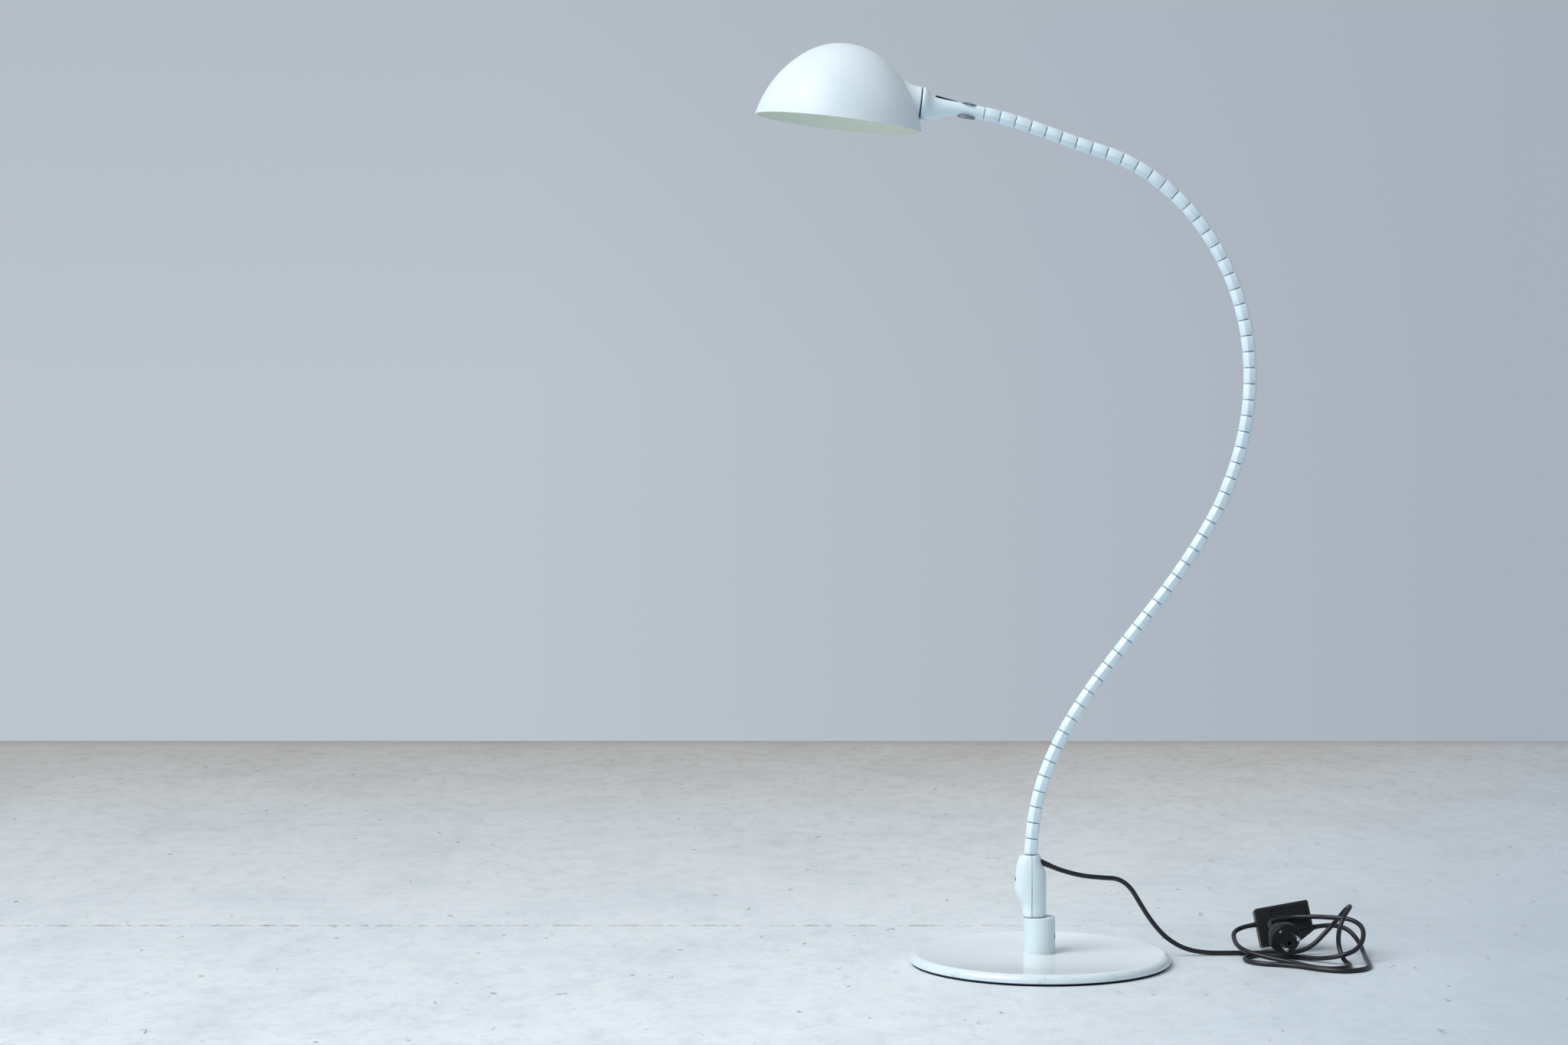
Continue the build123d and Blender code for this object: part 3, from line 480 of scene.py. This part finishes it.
class Finish:
    """The nodes of one finish."""

    def __init__(self, name, **plain):
        self.material = bpy.data.materials.new(name)
        self.material.use_nodes = True
        self.tree = self.material.node_tree
        self.tree.nodes.clear()
        values = {key.replace("_", " "): value for key, value in plain.items()}
        self.shader = self.node("ShaderNodeBsdfPrincipled", {}, values)
        self.node("ShaderNodeOutputMaterial", {}, {"Surface": self.shader.outputs[0]})

    def node(self, kind, settings, values):
        """Any node: its settings are set first, then the values or links of its sockets."""
        node = self.tree.nodes.new(kind)
        for name, value in settings.items():
            setattr(node, name, value)
        for name, value in values.items():
            self.feed(node.inputs[name], value)
        return node

    def feed(self, socket, value):
        """Links a socket, or sets its value."""
        if isinstance(value, Amount):
            value = value.socket
        if isinstance(value, bpy.types.NodeSocket):
            self.tree.links.new(value, socket)
        else:
            socket.default_value = value

    def at(self):
        """The point on the surface, in metres."""
        return self.node("ShaderNodeTexCoord", {}, {}).outputs["Object"]

    def axes(self):
        """The point's three distances, as amounts."""
        node = self.node("ShaderNodeSeparateXYZ", {}, {0: self.at()})
        return [Amount(self, node.outputs[index]) for index in range(3)]

    def normals(self):
        """The three parts of the surface's direction, as amounts."""
        way = self.node("ShaderNodeTexCoord", {}, {}).outputs["Normal"]
        node = self.node("ShaderNodeSeparateXYZ", {}, {0: way})
        return [Amount(self, node.outputs[index]) for index in range(3)]

    def along(self, place, axis=0):
        """How far the surface lies along one of a place's axes."""
        amount = 0.0
        for way, at, start in zip(place.col[axis], self.axes(), place.translation):
            amount = (at - start) * way + amount
        return amount

    def mark(self, name):
        """A mark that the mesh itself carries."""
        node = self.node("ShaderNodeAttribute", {"attribute_name": name}, {})
        return Amount(self, node.outputs["Fac"])

    def noise(self, per_metre, detail=3.0, roughness=0.5, stretch=None):
        """Even noise, about 0 to 1, with this many waves to the metre."""
        point = self.at()
        if stretch:
            point = self.node("ShaderNodeMapping", {}, {"Vector": point, "Scale": stretch}).outputs[0]
        values = {"Vector": point, "Scale": per_metre, "Detail": detail, "Roughness": roughness}
        return Amount(self, self.node("ShaderNodeTexNoise", {}, values).outputs[0])

    def blend(self, share, first, second):
        """A colour between two colours."""
        values = {MIX_SHARE: share, MIX_FIRST: first, MIX_SECOND: second}
        node = self.node("ShaderNodeMix", {"data_type": "RGBA"}, values)
        return node.outputs[MIX_COLOUR]

    def clouded(self, cloud, light, dark, top=0.7):
        """A colour that drifts from light to dark as the cloud does."""
        return self.blend(cloud.between(0.35, top), tint(*light), tint(*dark))

    def set(self, **links):
        """Feeds sockets of the shader."""
        for name, value in links.items():
            self.feed(self.shader.inputs[name.replace("_", " ")], value)

    def bump(self, height, depth_mm, strength=1.0):
        """A relief of this depth."""
        values = {"Height": height, "Distance": depth_mm * MM, "Strength": strength}
        node = self.node("ShaderNodeBump", {}, values)
        self.feed(self.shader.inputs["Normal"], node.outputs[0])

    def moulded(self, colour, roughness, grain_mm=0.03, strength=0.3):
        """Gives the shader the colour, gloss and fine grain of moulded plastic."""
        self.set(Base_Color=colour, Roughness=roughness)
        self.bump(self.noise(900.0, 2.0), grain_mm, strength)
        return self.material


class Backdrop(Finish):
    """The nodes of the world: soft light from all round, and the wall that the camera sees."""

    def __init__(self, name):
        self.world = bpy.data.worlds.new(name)
        self.world.use_nodes = True
        self.tree = self.world.node_tree
        self.tree.nodes.clear()
        self.shader = self.node("ShaderNodeBackground", {}, {"Strength": 1.0})
        self.node("ShaderNodeOutputWorld", {}, {"Surface": self.shader.outputs[0]})

    def at(self):
        """The direction looked in."""
        return self.node("ShaderNodeTexCoord", {}, {}).outputs["Generated"]

    def seen(self):
        """1 for the view, reflections and what shows through glass, and 0 for light."""
        rays = self.node("ShaderNodeLightPath", {}, {})
        names = ("Is Camera Ray", "Is Glossy Ray", "Is Transmission Ray")
        camera, glossy, through = [Amount(self, rays.outputs[name]) for name in names]
        return (camera + glossy + through).between(0.0, 1.0)


def studio():
    """A pale wall with painted shade, darker and bluer to the right and at the top, and even cool light."""
    finish = Backdrop("studio")
    x, _, z = finish.axes()
    # painted shade: the wall is darker and bluer to the right and towards the top
    wall = finish.blend(x.between(-0.08, 0.22), tint(188, 196, 206), tint(168, 177, 188))
    wall = finish.blend(z.between(0.0, 0.12) * 0.4, wall, tint(168, 176, 187))
    finish.set(Color=finish.blend(finish.seen(), AMBIENT_LIGHT, wall))
    return finish.world


def floor_paint():
    """White painted boards with faint streaks, specks and one joint; painted light and shade make them
    brighter at the front left, darker to the back and the right, and darker still at the back edge.
    """
    finish = Finish("floor_paint", Roughness=0.6)
    x, y, _ = finish.axes()
    mottle = finish.noise(5.0, 8.0, 0.7, (1.0, 0.7, 1.0))
    wash = finish.noise(40.0, 6.0, 0.75, (0.8, 0.5, 1.0))
    grain = finish.noise(150.0, 5.0, 0.75, (0.4, 0.4, 1.0))
    # far runs from 0 at the front to 1 at the back, and sets the painted dimming of the streaks
    far = y.between(0.4, 2.2)
    # painted light and shade: brighter at the front, darker and browner to the back, darker and bluer to the
    # right
    colour = finish.blend(y.between(-0.6, 1.0), tint(240, 249, 255), tint(211, 216, 220))
    colour = finish.blend(y.between(1.0, 2.4), colour, tint(176, 175, 172))
    colour = finish.blend((x - 0.35 * y).between(-0.1, 0.75) * 0.75, colour, tint(168, 184, 200))
    # the streaks' tone, painted darker and browner towards the back as painted shade
    streak_tone_painted_dim = finish.blend(far, tint(176, 188, 198), tint(150, 142, 134))
    colour = finish.blend(mottle.between(0.46, 0.72) * 0.35, colour, streak_tone_painted_dim)
    colour = finish.blend(wash.between(0.48, 0.72) * (0.35 + far * 0.25), colour, streak_tone_painted_dim)
    colour = finish.blend(grain.between(0.55, 0.75) * 0.3, colour, tint(142, 142, 142))
    specks = finish.noise(60.0, 3.0, 0.6, (0.8, 0.3, 1.0)).between(0.68, 0.72)
    joint = (1.0 - (y - BOARD_JOINT).size().between(0.002, 0.006)) * (1.0 - x.between(-0.1, 0.1) * 0.8)
    joint = joint * grain.between(0.46, 0.6)
    colour = finish.blend(specks * 0.5 + joint * 0.8, colour, tint(88, 90, 94))
    # painted shade: the floor darkens towards its back edge, where it meets the wall
    colour = finish.blend(y.between(FLOOR_END - 0.12, FLOOR_END) * 0.5, colour, tint(140, 136, 132))
    finish.set(Base_Color=colour)
    return finish.material


def base_enamel():
    """Glossy white enamel with scuffs at the rim, painted shade on the rounded rim, and a faint darker ring
    round the foot of the post.
    """
    finish = Finish("base_enamel", Coat_Weight=0.08, Coat_Roughness=0.05)
    x, y, _ = finish.axes()
    reach = (x * x + y * y) ** 0.5
    cloud = finish.noise(14.0, 4.0, 0.6)
    speck = finish.noise(260.0, 2.0)
    scuff = reach.between(0.150, 0.159) * finish.noise(90.0, 5.0, 0.7).between(0.56, 0.72)
    # a faint darker ring at the foot of the post, broken up by the cloud
    ring = (1.0 - (reach - 0.0235).size().between(0.0, 0.004)) * cloud.between(0.3, 0.6)
    colour = finish.blend(cloud.between(0.3, 0.75), tint(240, 249, 253), tint(232, 242, 247))
    # painted shade: the rounded rim is painted a little darker and bluer
    colour = finish.blend(reach.between(0.151, 0.158) * 0.8, colour, tint(208, 224, 233))
    colour = finish.blend(ring * 0.5, colour, tint(150, 146, 138))
    colour = finish.blend(scuff * 0.5, colour, tint(150, 152, 154))
    finish.set(Base_Color=colour, Roughness=0.14 + cloud * 0.08 + scuff * 0.3)
    finish.bump(speck, 0.02, 0.2)
    return finish.material


def pale_plastic(name, light, dark, gloss=0.32):
    """Moulded pale plastic, a little darker in places."""
    finish = Finish(name, Coat_Weight=0.12, Coat_Roughness=0.25)
    cloud = finish.noise(22.0, 4.0, 0.6)
    return finish.moulded(finish.clouded(cloud, light, dark), gloss + cloud * 0.12)


def post_plastic():
    """The post's enamel, with painted shade in the grub screw's hole."""
    finish = Finish("post_plastic", Coat_Weight=0.12, Coat_Roughness=0.2)
    cloud = finish.noise(22.0, 4.0, 0.6)
    turn = math.radians(SET_SCREW_TURN)
    screw = basis((0, 0, PLATE_TOP + SET_SCREW_HEIGHT), (math.cos(turn), math.sin(turn), 0), (0, 0, 1))
    across, up = finish.along(screw, 1), finish.along(screw, 2)
    reach = (across * across + up * up) ** 0.5
    # painted shade: the walls round the grub screw are painted nearly black
    hole_shade = 1.0 - reach.between(SET_SCREW_RADIUS * MM, (SET_SCREW_RADIUS + 0.5) * MM)
    hole_shade = hole_shade * finish.along(screw).between(0.0, 0.001)
    colour = finish.clouded(cloud, (214, 230, 237), (205, 222, 229))
    colour = finish.blend(hole_shade * 0.95, colour, tint(26, 28, 32))
    return finish.moulded(colour, 0.3 + cloud * 0.12)


def housing_plastic():
    """The housing's plastic, with the dark line where its halves meet and a shadow at its foot."""
    finish = Finish("housing_plastic", Coat_Weight=0.12, Coat_Roughness=0.2)
    x, _, z = finish.axes()
    cloud = finish.noise(22.0, 4.0, 0.6)
    line = 1.0 - (x - SEAM_X * MM).size().between(0.0002, 0.0006)
    line = line * (1.0 - z.between(0.094, 0.102) * 0.75) * 0.85
    foot = 1.0 - z.between((POST_TOP + 0.6) * MM, (POST_TOP + 2.2) * MM)
    colour = finish.clouded(cloud, (220, 236, 242), (211, 228, 234))
    colour = finish.blend(foot * 0.85, colour, tint(92, 100, 104))
    colour = finish.blend(line, colour, tint(64, 70, 74))
    return finish.moulded(colour, 0.28 + cloud * 0.12)


def collar_plastic():
    """The arm's plastic, with a shadow at the gap to the shade."""
    finish = Finish("collar_plastic", Coat_Weight=0.1, Coat_Roughness=0.2)
    cloud = finish.noise(30.0, 3.0, 0.6)
    gap = finish.along(ROLL).between(-0.0012, -0.0002)
    colour = finish.clouded(cloud, (224, 243, 250), (214, 234, 243))
    colour = finish.blend(gap * 0.8, colour, tint(70, 78, 82))
    return finish.moulded(colour, 0.3 + cloud * 0.12, 0.02, 0.25)


def bead_plastic():
    """The beads' plastic, uneven along the neck, and greyer and rougher towards each bead's ends at the
    joints.
    """
    finish = Finish("bead_plastic", Coat_Weight=0.2, Coat_Roughness=0.15)
    cloud = finish.noise(30.0, 3.0, 0.6)
    along = finish.mark("along")
    ends = (along - 0.5).size()
    # a grey band at each bead's ends, broken up by noise
    end_grey = ends.between(0.44, 0.48) * finish.noise(160.0, 4.0, 0.6).between(0.3, 0.75)
    colour = finish.clouded(cloud, (224, 242, 250), (215, 233, 243), 0.65)
    colour = finish.blend(end_grey * 0.55, colour, tint(128, 140, 142))
    return finish.moulded(colour, 0.24 + cloud * 0.12 + end_grey * 0.3, 0.02, 0.25)


def shade_plastic():
    """The shade's plastic: cool white outside, creamy grey inside, and a shadow at the gap to the arm."""
    finish = Finish("shade_plastic", Specular_IOR_Level=0.4)
    cloud = finish.noise(12.0, 4.0, 0.6)
    middle = DOME.translation
    outward = 0.0
    for way, place, centre in zip(finish.normals(), finish.axes(), middle):
        outward = way * (place - centre) + outward
    inside = 1.0 - outward.between(-0.004, 0.004)
    scuff = finish.noise(120.0, 5.0, 0.7, (1.0, 1.0, 0.3)).between(0.66, 0.76)
    colour = finish.clouded(cloud, (230, 242, 249), (221, 235, 243))
    colour = finish.blend(scuff * 0.25, colour, tint(182, 188, 190))
    colour = finish.blend(inside, colour, tint(224, 231, 218))
    across, up = finish.along(ROLL, 1), finish.along(ROLL, 2)
    near = 1.0 - ((across * across + up * up) ** 0.5).between(0.024, 0.026)
    face = 1.0 - finish.along(ROLL).between((COLLAR_STANDOFF + 0.3) * MM, (COLLAR_STANDOFF + 1.3) * MM)
    gap = near * face
    colour = finish.blend(gap * 0.85, colour, tint(70, 78, 82))
    finish.set(Base_Color=colour, Roughness=0.42 + cloud * 0.1)
    finish.bump(finish.noise(700.0, 2.0), 0.02, 0.2)
    return finish.material


def metal(name, light, dark, rough):
    """Turned or plated metal."""
    finish = Finish(name, Metallic=1.0)
    cloud = finish.noise(220.0, 4.0, 0.6)
    finish.set(Base_Color=finish.blend(cloud, tint(*light), tint(*dark)), Roughness=rough + cloud * 0.15)
    finish.bump(finish.noise(1500.0, 2.0), 0.02, 0.3)
    return finish.material


def dark_plastic(name, light, dark, rough, grain_mm=0.04, shine=0.32):
    """Black moulded plastic or soft lead jacket with a fine grain."""
    finish = Finish(name, Specular_IOR_Level=shine)
    cloud = finish.noise(45.0, 4.0, 0.65)
    grain = finish.noise(1400.0, 2.0)
    colour = finish.clouded(cloud, light, dark, 0.72)
    finish.set(Base_Color=colour, Roughness=rough + cloud * 0.14)
    finish.bump(grain, grain_mm, 0.4)
    return finish.material


FINISHES = {}


def make_finishes():
    """Every finish once."""
    FINISHES["base_enamel"] = base_enamel()
    FINISHES["foot_pad"] = dark_plastic("foot_pad", (26, 28, 34), (18, 19, 24), 0.8, 0.12)
    FINISHES["pale_plastic"] = pale_plastic("pale_plastic", (214, 230, 237), (204, 221, 227))
    FINISHES["post_plastic"] = post_plastic()
    FINISHES["housing_plastic"] = housing_plastic()
    FINISHES["collar_plastic"] = collar_plastic()
    FINISHES["bead_plastic"] = bead_plastic()
    FINISHES["shade_plastic"] = shade_plastic()
    FINISHES["dark_steel"] = metal("dark_steel", (44, 46, 50), (26, 28, 32), 0.45)
    FINISHES["bright_steel"] = metal("bright_steel", (226, 228, 230), (198, 200, 204), 0.16)
    FINISHES["grey_steel"] = metal("grey_steel", (158, 162, 166), (132, 136, 142), 0.34)
    FINISHES["strip_black"] = dark_plastic("strip_black", (30, 32, 35), (20, 21, 24), 0.4)
    FINISHES["holder_plastic"] = pale_plastic("holder_plastic", (222, 220, 210), (208, 206, 196), 0.4)
    FINISHES["bulb_glass"] = pale_plastic("bulb_glass", (244, 244, 238), (236, 236, 230), 0.18)
    FINISHES["lead_black"] = dark_plastic("lead_black", (25, 27, 34), (16, 18, 23), 0.28, 0.02, 0.42)
    FINISHES["box_black"] = dark_plastic("box_black", (15, 17, 22), (10, 11, 14), 0.38, 0.05)
    FINISHES["terminal_white"] = pale_plastic("terminal_white", (226, 226, 220), (214, 214, 208), 0.45)


# ---- pieces ----
def build_lead(name, route, finish):
    """One cord as a smooth curve through open space, with these control points in millimetres."""
    curve = bpy.data.curves.new(name, "CURVE")
    curve.dimensions = "3D"
    curve.resolution_u = 12
    curve.bevel_depth = LEAD_DIAMETER / 2
    curve.bevel_resolution = 5
    curve.use_fill_caps = True
    spline = curve.splines.new("NURBS")
    spline.points.add(len(route) - 1)
    for point, place in zip(spline.points, route):
        point.co = (*millimetres(*place), 1.0)
    spline.order_u = 3
    spline.use_endpoint_u = True
    cord = bpy.data.objects.new(name, curve)
    bpy.context.scene.collection.objects.link(cord)
    curve.materials.append(FINISHES[finish])
    return cord


def base_disc():
    """The enamelled disc with its soft rounded rim, open for the bolt below."""
    outline = [(BOLT_HOLE, DISC_BOTTOM), (DISC_RADIUS - FOOT_ROUND, DISC_BOTTOM)]
    outline += arc(DISC_RADIUS - FOOT_ROUND, DISC_BOTTOM + FOOT_ROUND, FOOT_ROUND, -90, 0, 4)
    outline += arc(DISC_RADIUS - RIM_ROUND, RIM_ROUND_HEIGHT, RIM_ROUND, 8, 84, 12)
    outline += [(RIM_INSIDE, PLATE_TOP), (POST_FOOT, PLATE_TOP)]
    outline += [(BOLT_HOLE, PLATE_TOP), (BOLT_HOLE, DISC_BOTTOM)]
    return lathe("base_disc", outline, 192)


def bead_pattern():
    """One bead on its lower joint: six flats, soft corners, bevelled ends, nose and socket."""
    leave_selection()
    bpy.ops.mesh.primitive_cylinder_add(
        vertices=6, radius=BEAD_RADIUS * MM, depth=(BEAD_PITCH - BEAD_GAP) * MM,
        location=(0, 0, BEAD_PITCH / 2 * MM), rotation=(0, 0, math.radians(HALF_SIDE_TURN + BEAD_TURN)))
    piece = bpy.context.object
    settle(piece)
    edit(piece, "EDGE")
    pick(piece, "EDGE", lambda edge: level(edge) is None)
    bpy.ops.mesh.bevel(offset=BEAD_CORNER * MM, offset_type="OFFSET", segments=3, affect="EDGES")
    pick(piece, "EDGE", lambda edge: level(edge) is not None)
    bpy.ops.mesh.bevel(offset=BEAD_CHAMFER * MM, offset_type="OFFSET", segments=2, affect="EDGES")
    pick(piece, "FACE", lambda face: face.normal.z > 0.99)
    bpy.ops.mesh.inset(thickness=NOSE_INSET * MM)
    bpy.ops.mesh.extrude_region_move(TRANSFORM_OT_translate={"value": (0, 0, BEAD_GAP * MM)})
    bpy.ops.mesh.extrude_region_move(TRANSFORM_OT_translate={"value": (0, 0, NOSE_LENGTH * MM)})
    bpy.ops.transform.resize(value=(NOSE_TAPER, NOSE_TAPER, 1.0), center_override=(0, 0, 0))
    pick(piece, "FACE", lambda face: face.normal.z < -0.99)
    bpy.ops.mesh.inset(thickness=SOCKET_RIM * MM)
    bpy.ops.mesh.extrude_region_move(TRANSFORM_OT_translate={"value": (0, 0, SOCKET_DEPTH * MM)})
    done(piece)
    piece.name = piece.data.name = "bead_pattern"
    return piece


def ribbed_relief(name, tip_at, lead_at, length, ribs):
    """A tapered strain relief with rings: its tip is here, and the lead runs on to there."""
    root, tip = RELIEF_ROOT, RELIEF_TIP
    outline = [(0.0, 0.0), (root, 0.0)]
    step = length / (2 * ribs + 1)
    for number in range(2 * ribs + 1):
        share = (number + 0.5) / (2 * ribs + 1)
        radius = root + (tip - root) * share
        if number % 2:
            radius -= RING_DEPTH
        outline += [(radius, number * step + RING_SLOPE), (radius, (number + 1) * step - RING_SLOPE)]
    outline += [(tip - RELIEF_LIP, length), (0.0, length)]
    relief = lathe(name, outline, 40)
    along = (Vector(lead_at) - Vector(tip_at)).normalized()
    settle(relief, basis(Vector(tip_at) - along * length, Vector((0, 1, 0)).cross(along), along))
    smooth(relief)
    return relief


# ---- the add-on ----
class LampSizes(bpy.types.PropertyGroup):
    """Sizes of the lamp's softer details."""

    bead_soften: bpy.props.FloatProperty(
        name="Bead softness", description="Angle under which a bead's faces shade as one",
        default=28.0, min=5.0, max=60.0)
    stage_size: bpy.props.FloatProperty(
        name="Floor size", description="Side of the floor", default=14.0, min=3.0, unit="LENGTH")
    edge_soften: bpy.props.FloatProperty(
        name="Edge rounding", description="Rounding of the moulded pieces' edges, in millimetres",
        default=0.6, min=0.1, max=2.0)


class LAMP_OT_finishes(bpy.types.Operator):
    """Make every finish and dress the frame's own pieces"""

    bl_idname = "lamp.finishes"
    bl_label = "Finishes"

    def execute(self, context):
        make_finishes()
        for row in frame["record"]["subparts"]:
            dress(FINISHES[row["material_slot"]], row["node"])
        return {"FINISHED"}


class LAMP_OT_leads(bpy.types.Operator):
    """Lay the mains lead from the housing to the box, and from the box to the plug"""

    bl_idname = "lamp.leads"
    bl_label = "Mains lead"

    def execute(self, context):
        lead = build_lead("mains_lead", LEAD_ROUTE, "lead_black")
        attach(lead, "base")
        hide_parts("lead_cord", "loose_coil")
        plug_lead = build_lead("plug_lead", PLUG_LEAD_ROUTE, "lead_black")
        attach(plug_lead, "base")
        return {"FINISHED"}


class LAMP_OT_base(bpy.types.Operator):
    """Turn the base disc with its rounded rim"""

    bl_idname = "lamp.base"
    bl_label = "Base"

    def execute(self, context):
        disc = base_disc()
        smooth(disc, SMOOTH_UNDER)
        fit_out(disc, "base", "base_enamel", FINISHES["base_enamel"], "base_plate")
        return {"FINISHED"}


class LAMP_OT_neck(bpy.types.Operator):
    """Make one bead, and string its copies along the neck"""

    bl_idname = "lamp.neck"
    bl_label = "Neck of beads"

    def execute(self, context):
        pattern = bead_pattern()
        smooth(pattern, context.scene.lamp_sizes.bead_soften)
        mark_along(pattern, BEAD_PITCH)
        links = BEAD_COUNT // BEADS_PER_LINK
        for number in range(1, links + 1):
            first = (number - 1) * BEADS_PER_LINK
            last = BEAD_COUNT if number == links else first + BEADS_PER_LINK
            beads = [own_copy(pattern, bead_place(joint)) for joint in JOINTS[first:last]]
            name = "%02d" % number
            link = joined("beads_" + name, beads)
            fit_out(link, "link_" + name, "pale_plastic", FINISHES["bead_plastic"], "neck_link_" + name)
        bpy.data.objects.remove(pattern)
        return {"FINISHED"}


class LAMP_OT_reliefs(bpy.types.Operator):
    """Turn the ribbed strain reliefs of the housing, the box and the plug"""

    bl_idname = "lamp.reliefs"
    bl_label = "Strain reliefs"

    def execute(self, context):
        black = FINISHES["lead_black"]
        relief = ribbed_relief("housing_relief", LEAD_ROUTE[0], LEAD_ROUTE[1], RELIEF_LENGTH, 5)
        fit_out(relief, "base", "lead_black", black, "cord_relief")
        left = ribbed_relief("box_relief_left", LEAD_ROUTE[-1], LEAD_ROUTE[-2], BOX_RELIEF_LENGTH, 2)
        right = ribbed_relief(
            "box_relief_right", PLUG_LEAD_ROUTE[0], PLUG_LEAD_ROUTE[1], BOX_RELIEF_LENGTH, 2)
        fit_out(joined("box_rings", [left, right]), "base", "lead_black", black, "box_reliefs")
        relief = ribbed_relief("plug_rings", PLUG_LEAD_ROUTE[-1], PLUG_LEAD_ROUTE[-2], PLUG_RELIEF_LENGTH, 4)
        fit_out(relief, "base", "lead_black", black, "plug_relief")
        return {"FINISHED"}


class LAMP_OT_housings(bpy.types.Operator):
    """Round the edges of the moulded and turned pieces"""

    bl_idname = "lamp.housings"
    bl_label = "Housings"

    def execute(self, context):
        slots = {row["node"]: row["material_slot"] for row in frame["record"]["subparts"]}
        soften = context.scene.lamp_sizes.edge_soften
        for node, (body, share) in SOFTENED.items():
            piece = softened(node + "_soft", node, soften * share)
            finish = OWN_FINISH.get(node, slots[node])
            fit_out(piece, body, slots[node], FINISHES[finish], node)
        return {"FINISHED"}


class LAMP_OT_stage(bpy.types.Operator):
    """Set up the floor, the backdrop, the light and the camera"""

    bl_idname = "lamp.stage"
    bl_label = "Stage"

    def execute(self, context):
        size = context.scene.lamp_sizes.stage_size
        leave_selection()
        bpy.ops.mesh.primitive_plane_add(size=size, location=(0, FLOOR_END - size / 2, 0))
        floor = context.object
        settle(floor)
        floor.name = "floor"
        floor.data.materials.append(floor_paint())
        bpy.ops.object.light_add(type="SUN", rotation=(math.radians(SUN_LEAN), 0, math.radians(SUN_FROM)))
        key = context.object
        key.data.energy = SUN_STRENGTH
        key.data.angle = math.radians(SUN_SPREAD)
        context.scene.world = studio()
        bpy.ops.object.camera_add(location=CAMERA_AT, rotation=(math.radians(90 - CAMERA_TILT), 0, 0))
        camera = context.object
        camera.data.lens = CAMERA_LENS
        camera.data.sensor_width = SENSOR_WIDTH
        context.scene.camera = camera
        context.scene.view_settings.view_transform = "Standard"
        return {"FINISHED"}


class LAMP_PT_panel(bpy.types.Panel):
    """The lamp's operators"""

    bl_idname = "LAMP_PT_panel"
    bl_label = "Gooseneck lamp"
    bl_space_type = "VIEW_3D"
    bl_region_type = "UI"
    bl_category = "Lamp"

    def draw(self, context):
        sizes = context.scene.lamp_sizes
        self.layout.prop(sizes, "bead_soften")
        self.layout.prop(sizes, "stage_size")
        self.layout.prop(sizes, "edge_soften")
        for operator in OPERATORS:
            self.layout.operator(operator.bl_idname)


OPERATORS = (
    LAMP_OT_finishes, LAMP_OT_stage, LAMP_OT_base, LAMP_OT_neck, LAMP_OT_reliefs, LAMP_OT_housings,
    LAMP_OT_leads,
)


def register():
    bpy.utils.register_class(LampSizes)
    for operator in OPERATORS:
        bpy.utils.register_class(operator)
    bpy.utils.register_class(LAMP_PT_panel)
    bpy.types.Scene.lamp_sizes = bpy.props.PointerProperty(type=LampSizes)


def unregister():
    del bpy.types.Scene.lamp_sizes
    bpy.utils.unregister_class(LAMP_PT_panel)
    for operator in reversed(OPERATORS):
        bpy.utils.unregister_class(operator)
    bpy.utils.unregister_class(LampSizes)


def main():
    """Builds the lamp piece by piece."""
    register()
    bpy.ops.lamp.finishes()
    bpy.ops.lamp.stage()
    bpy.ops.lamp.base()
    bpy.ops.lamp.neck()
    bpy.ops.lamp.reliefs()
    bpy.ops.lamp.housings()
    bpy.ops.lamp.leads()


if __name__ == "__main__":
    main()
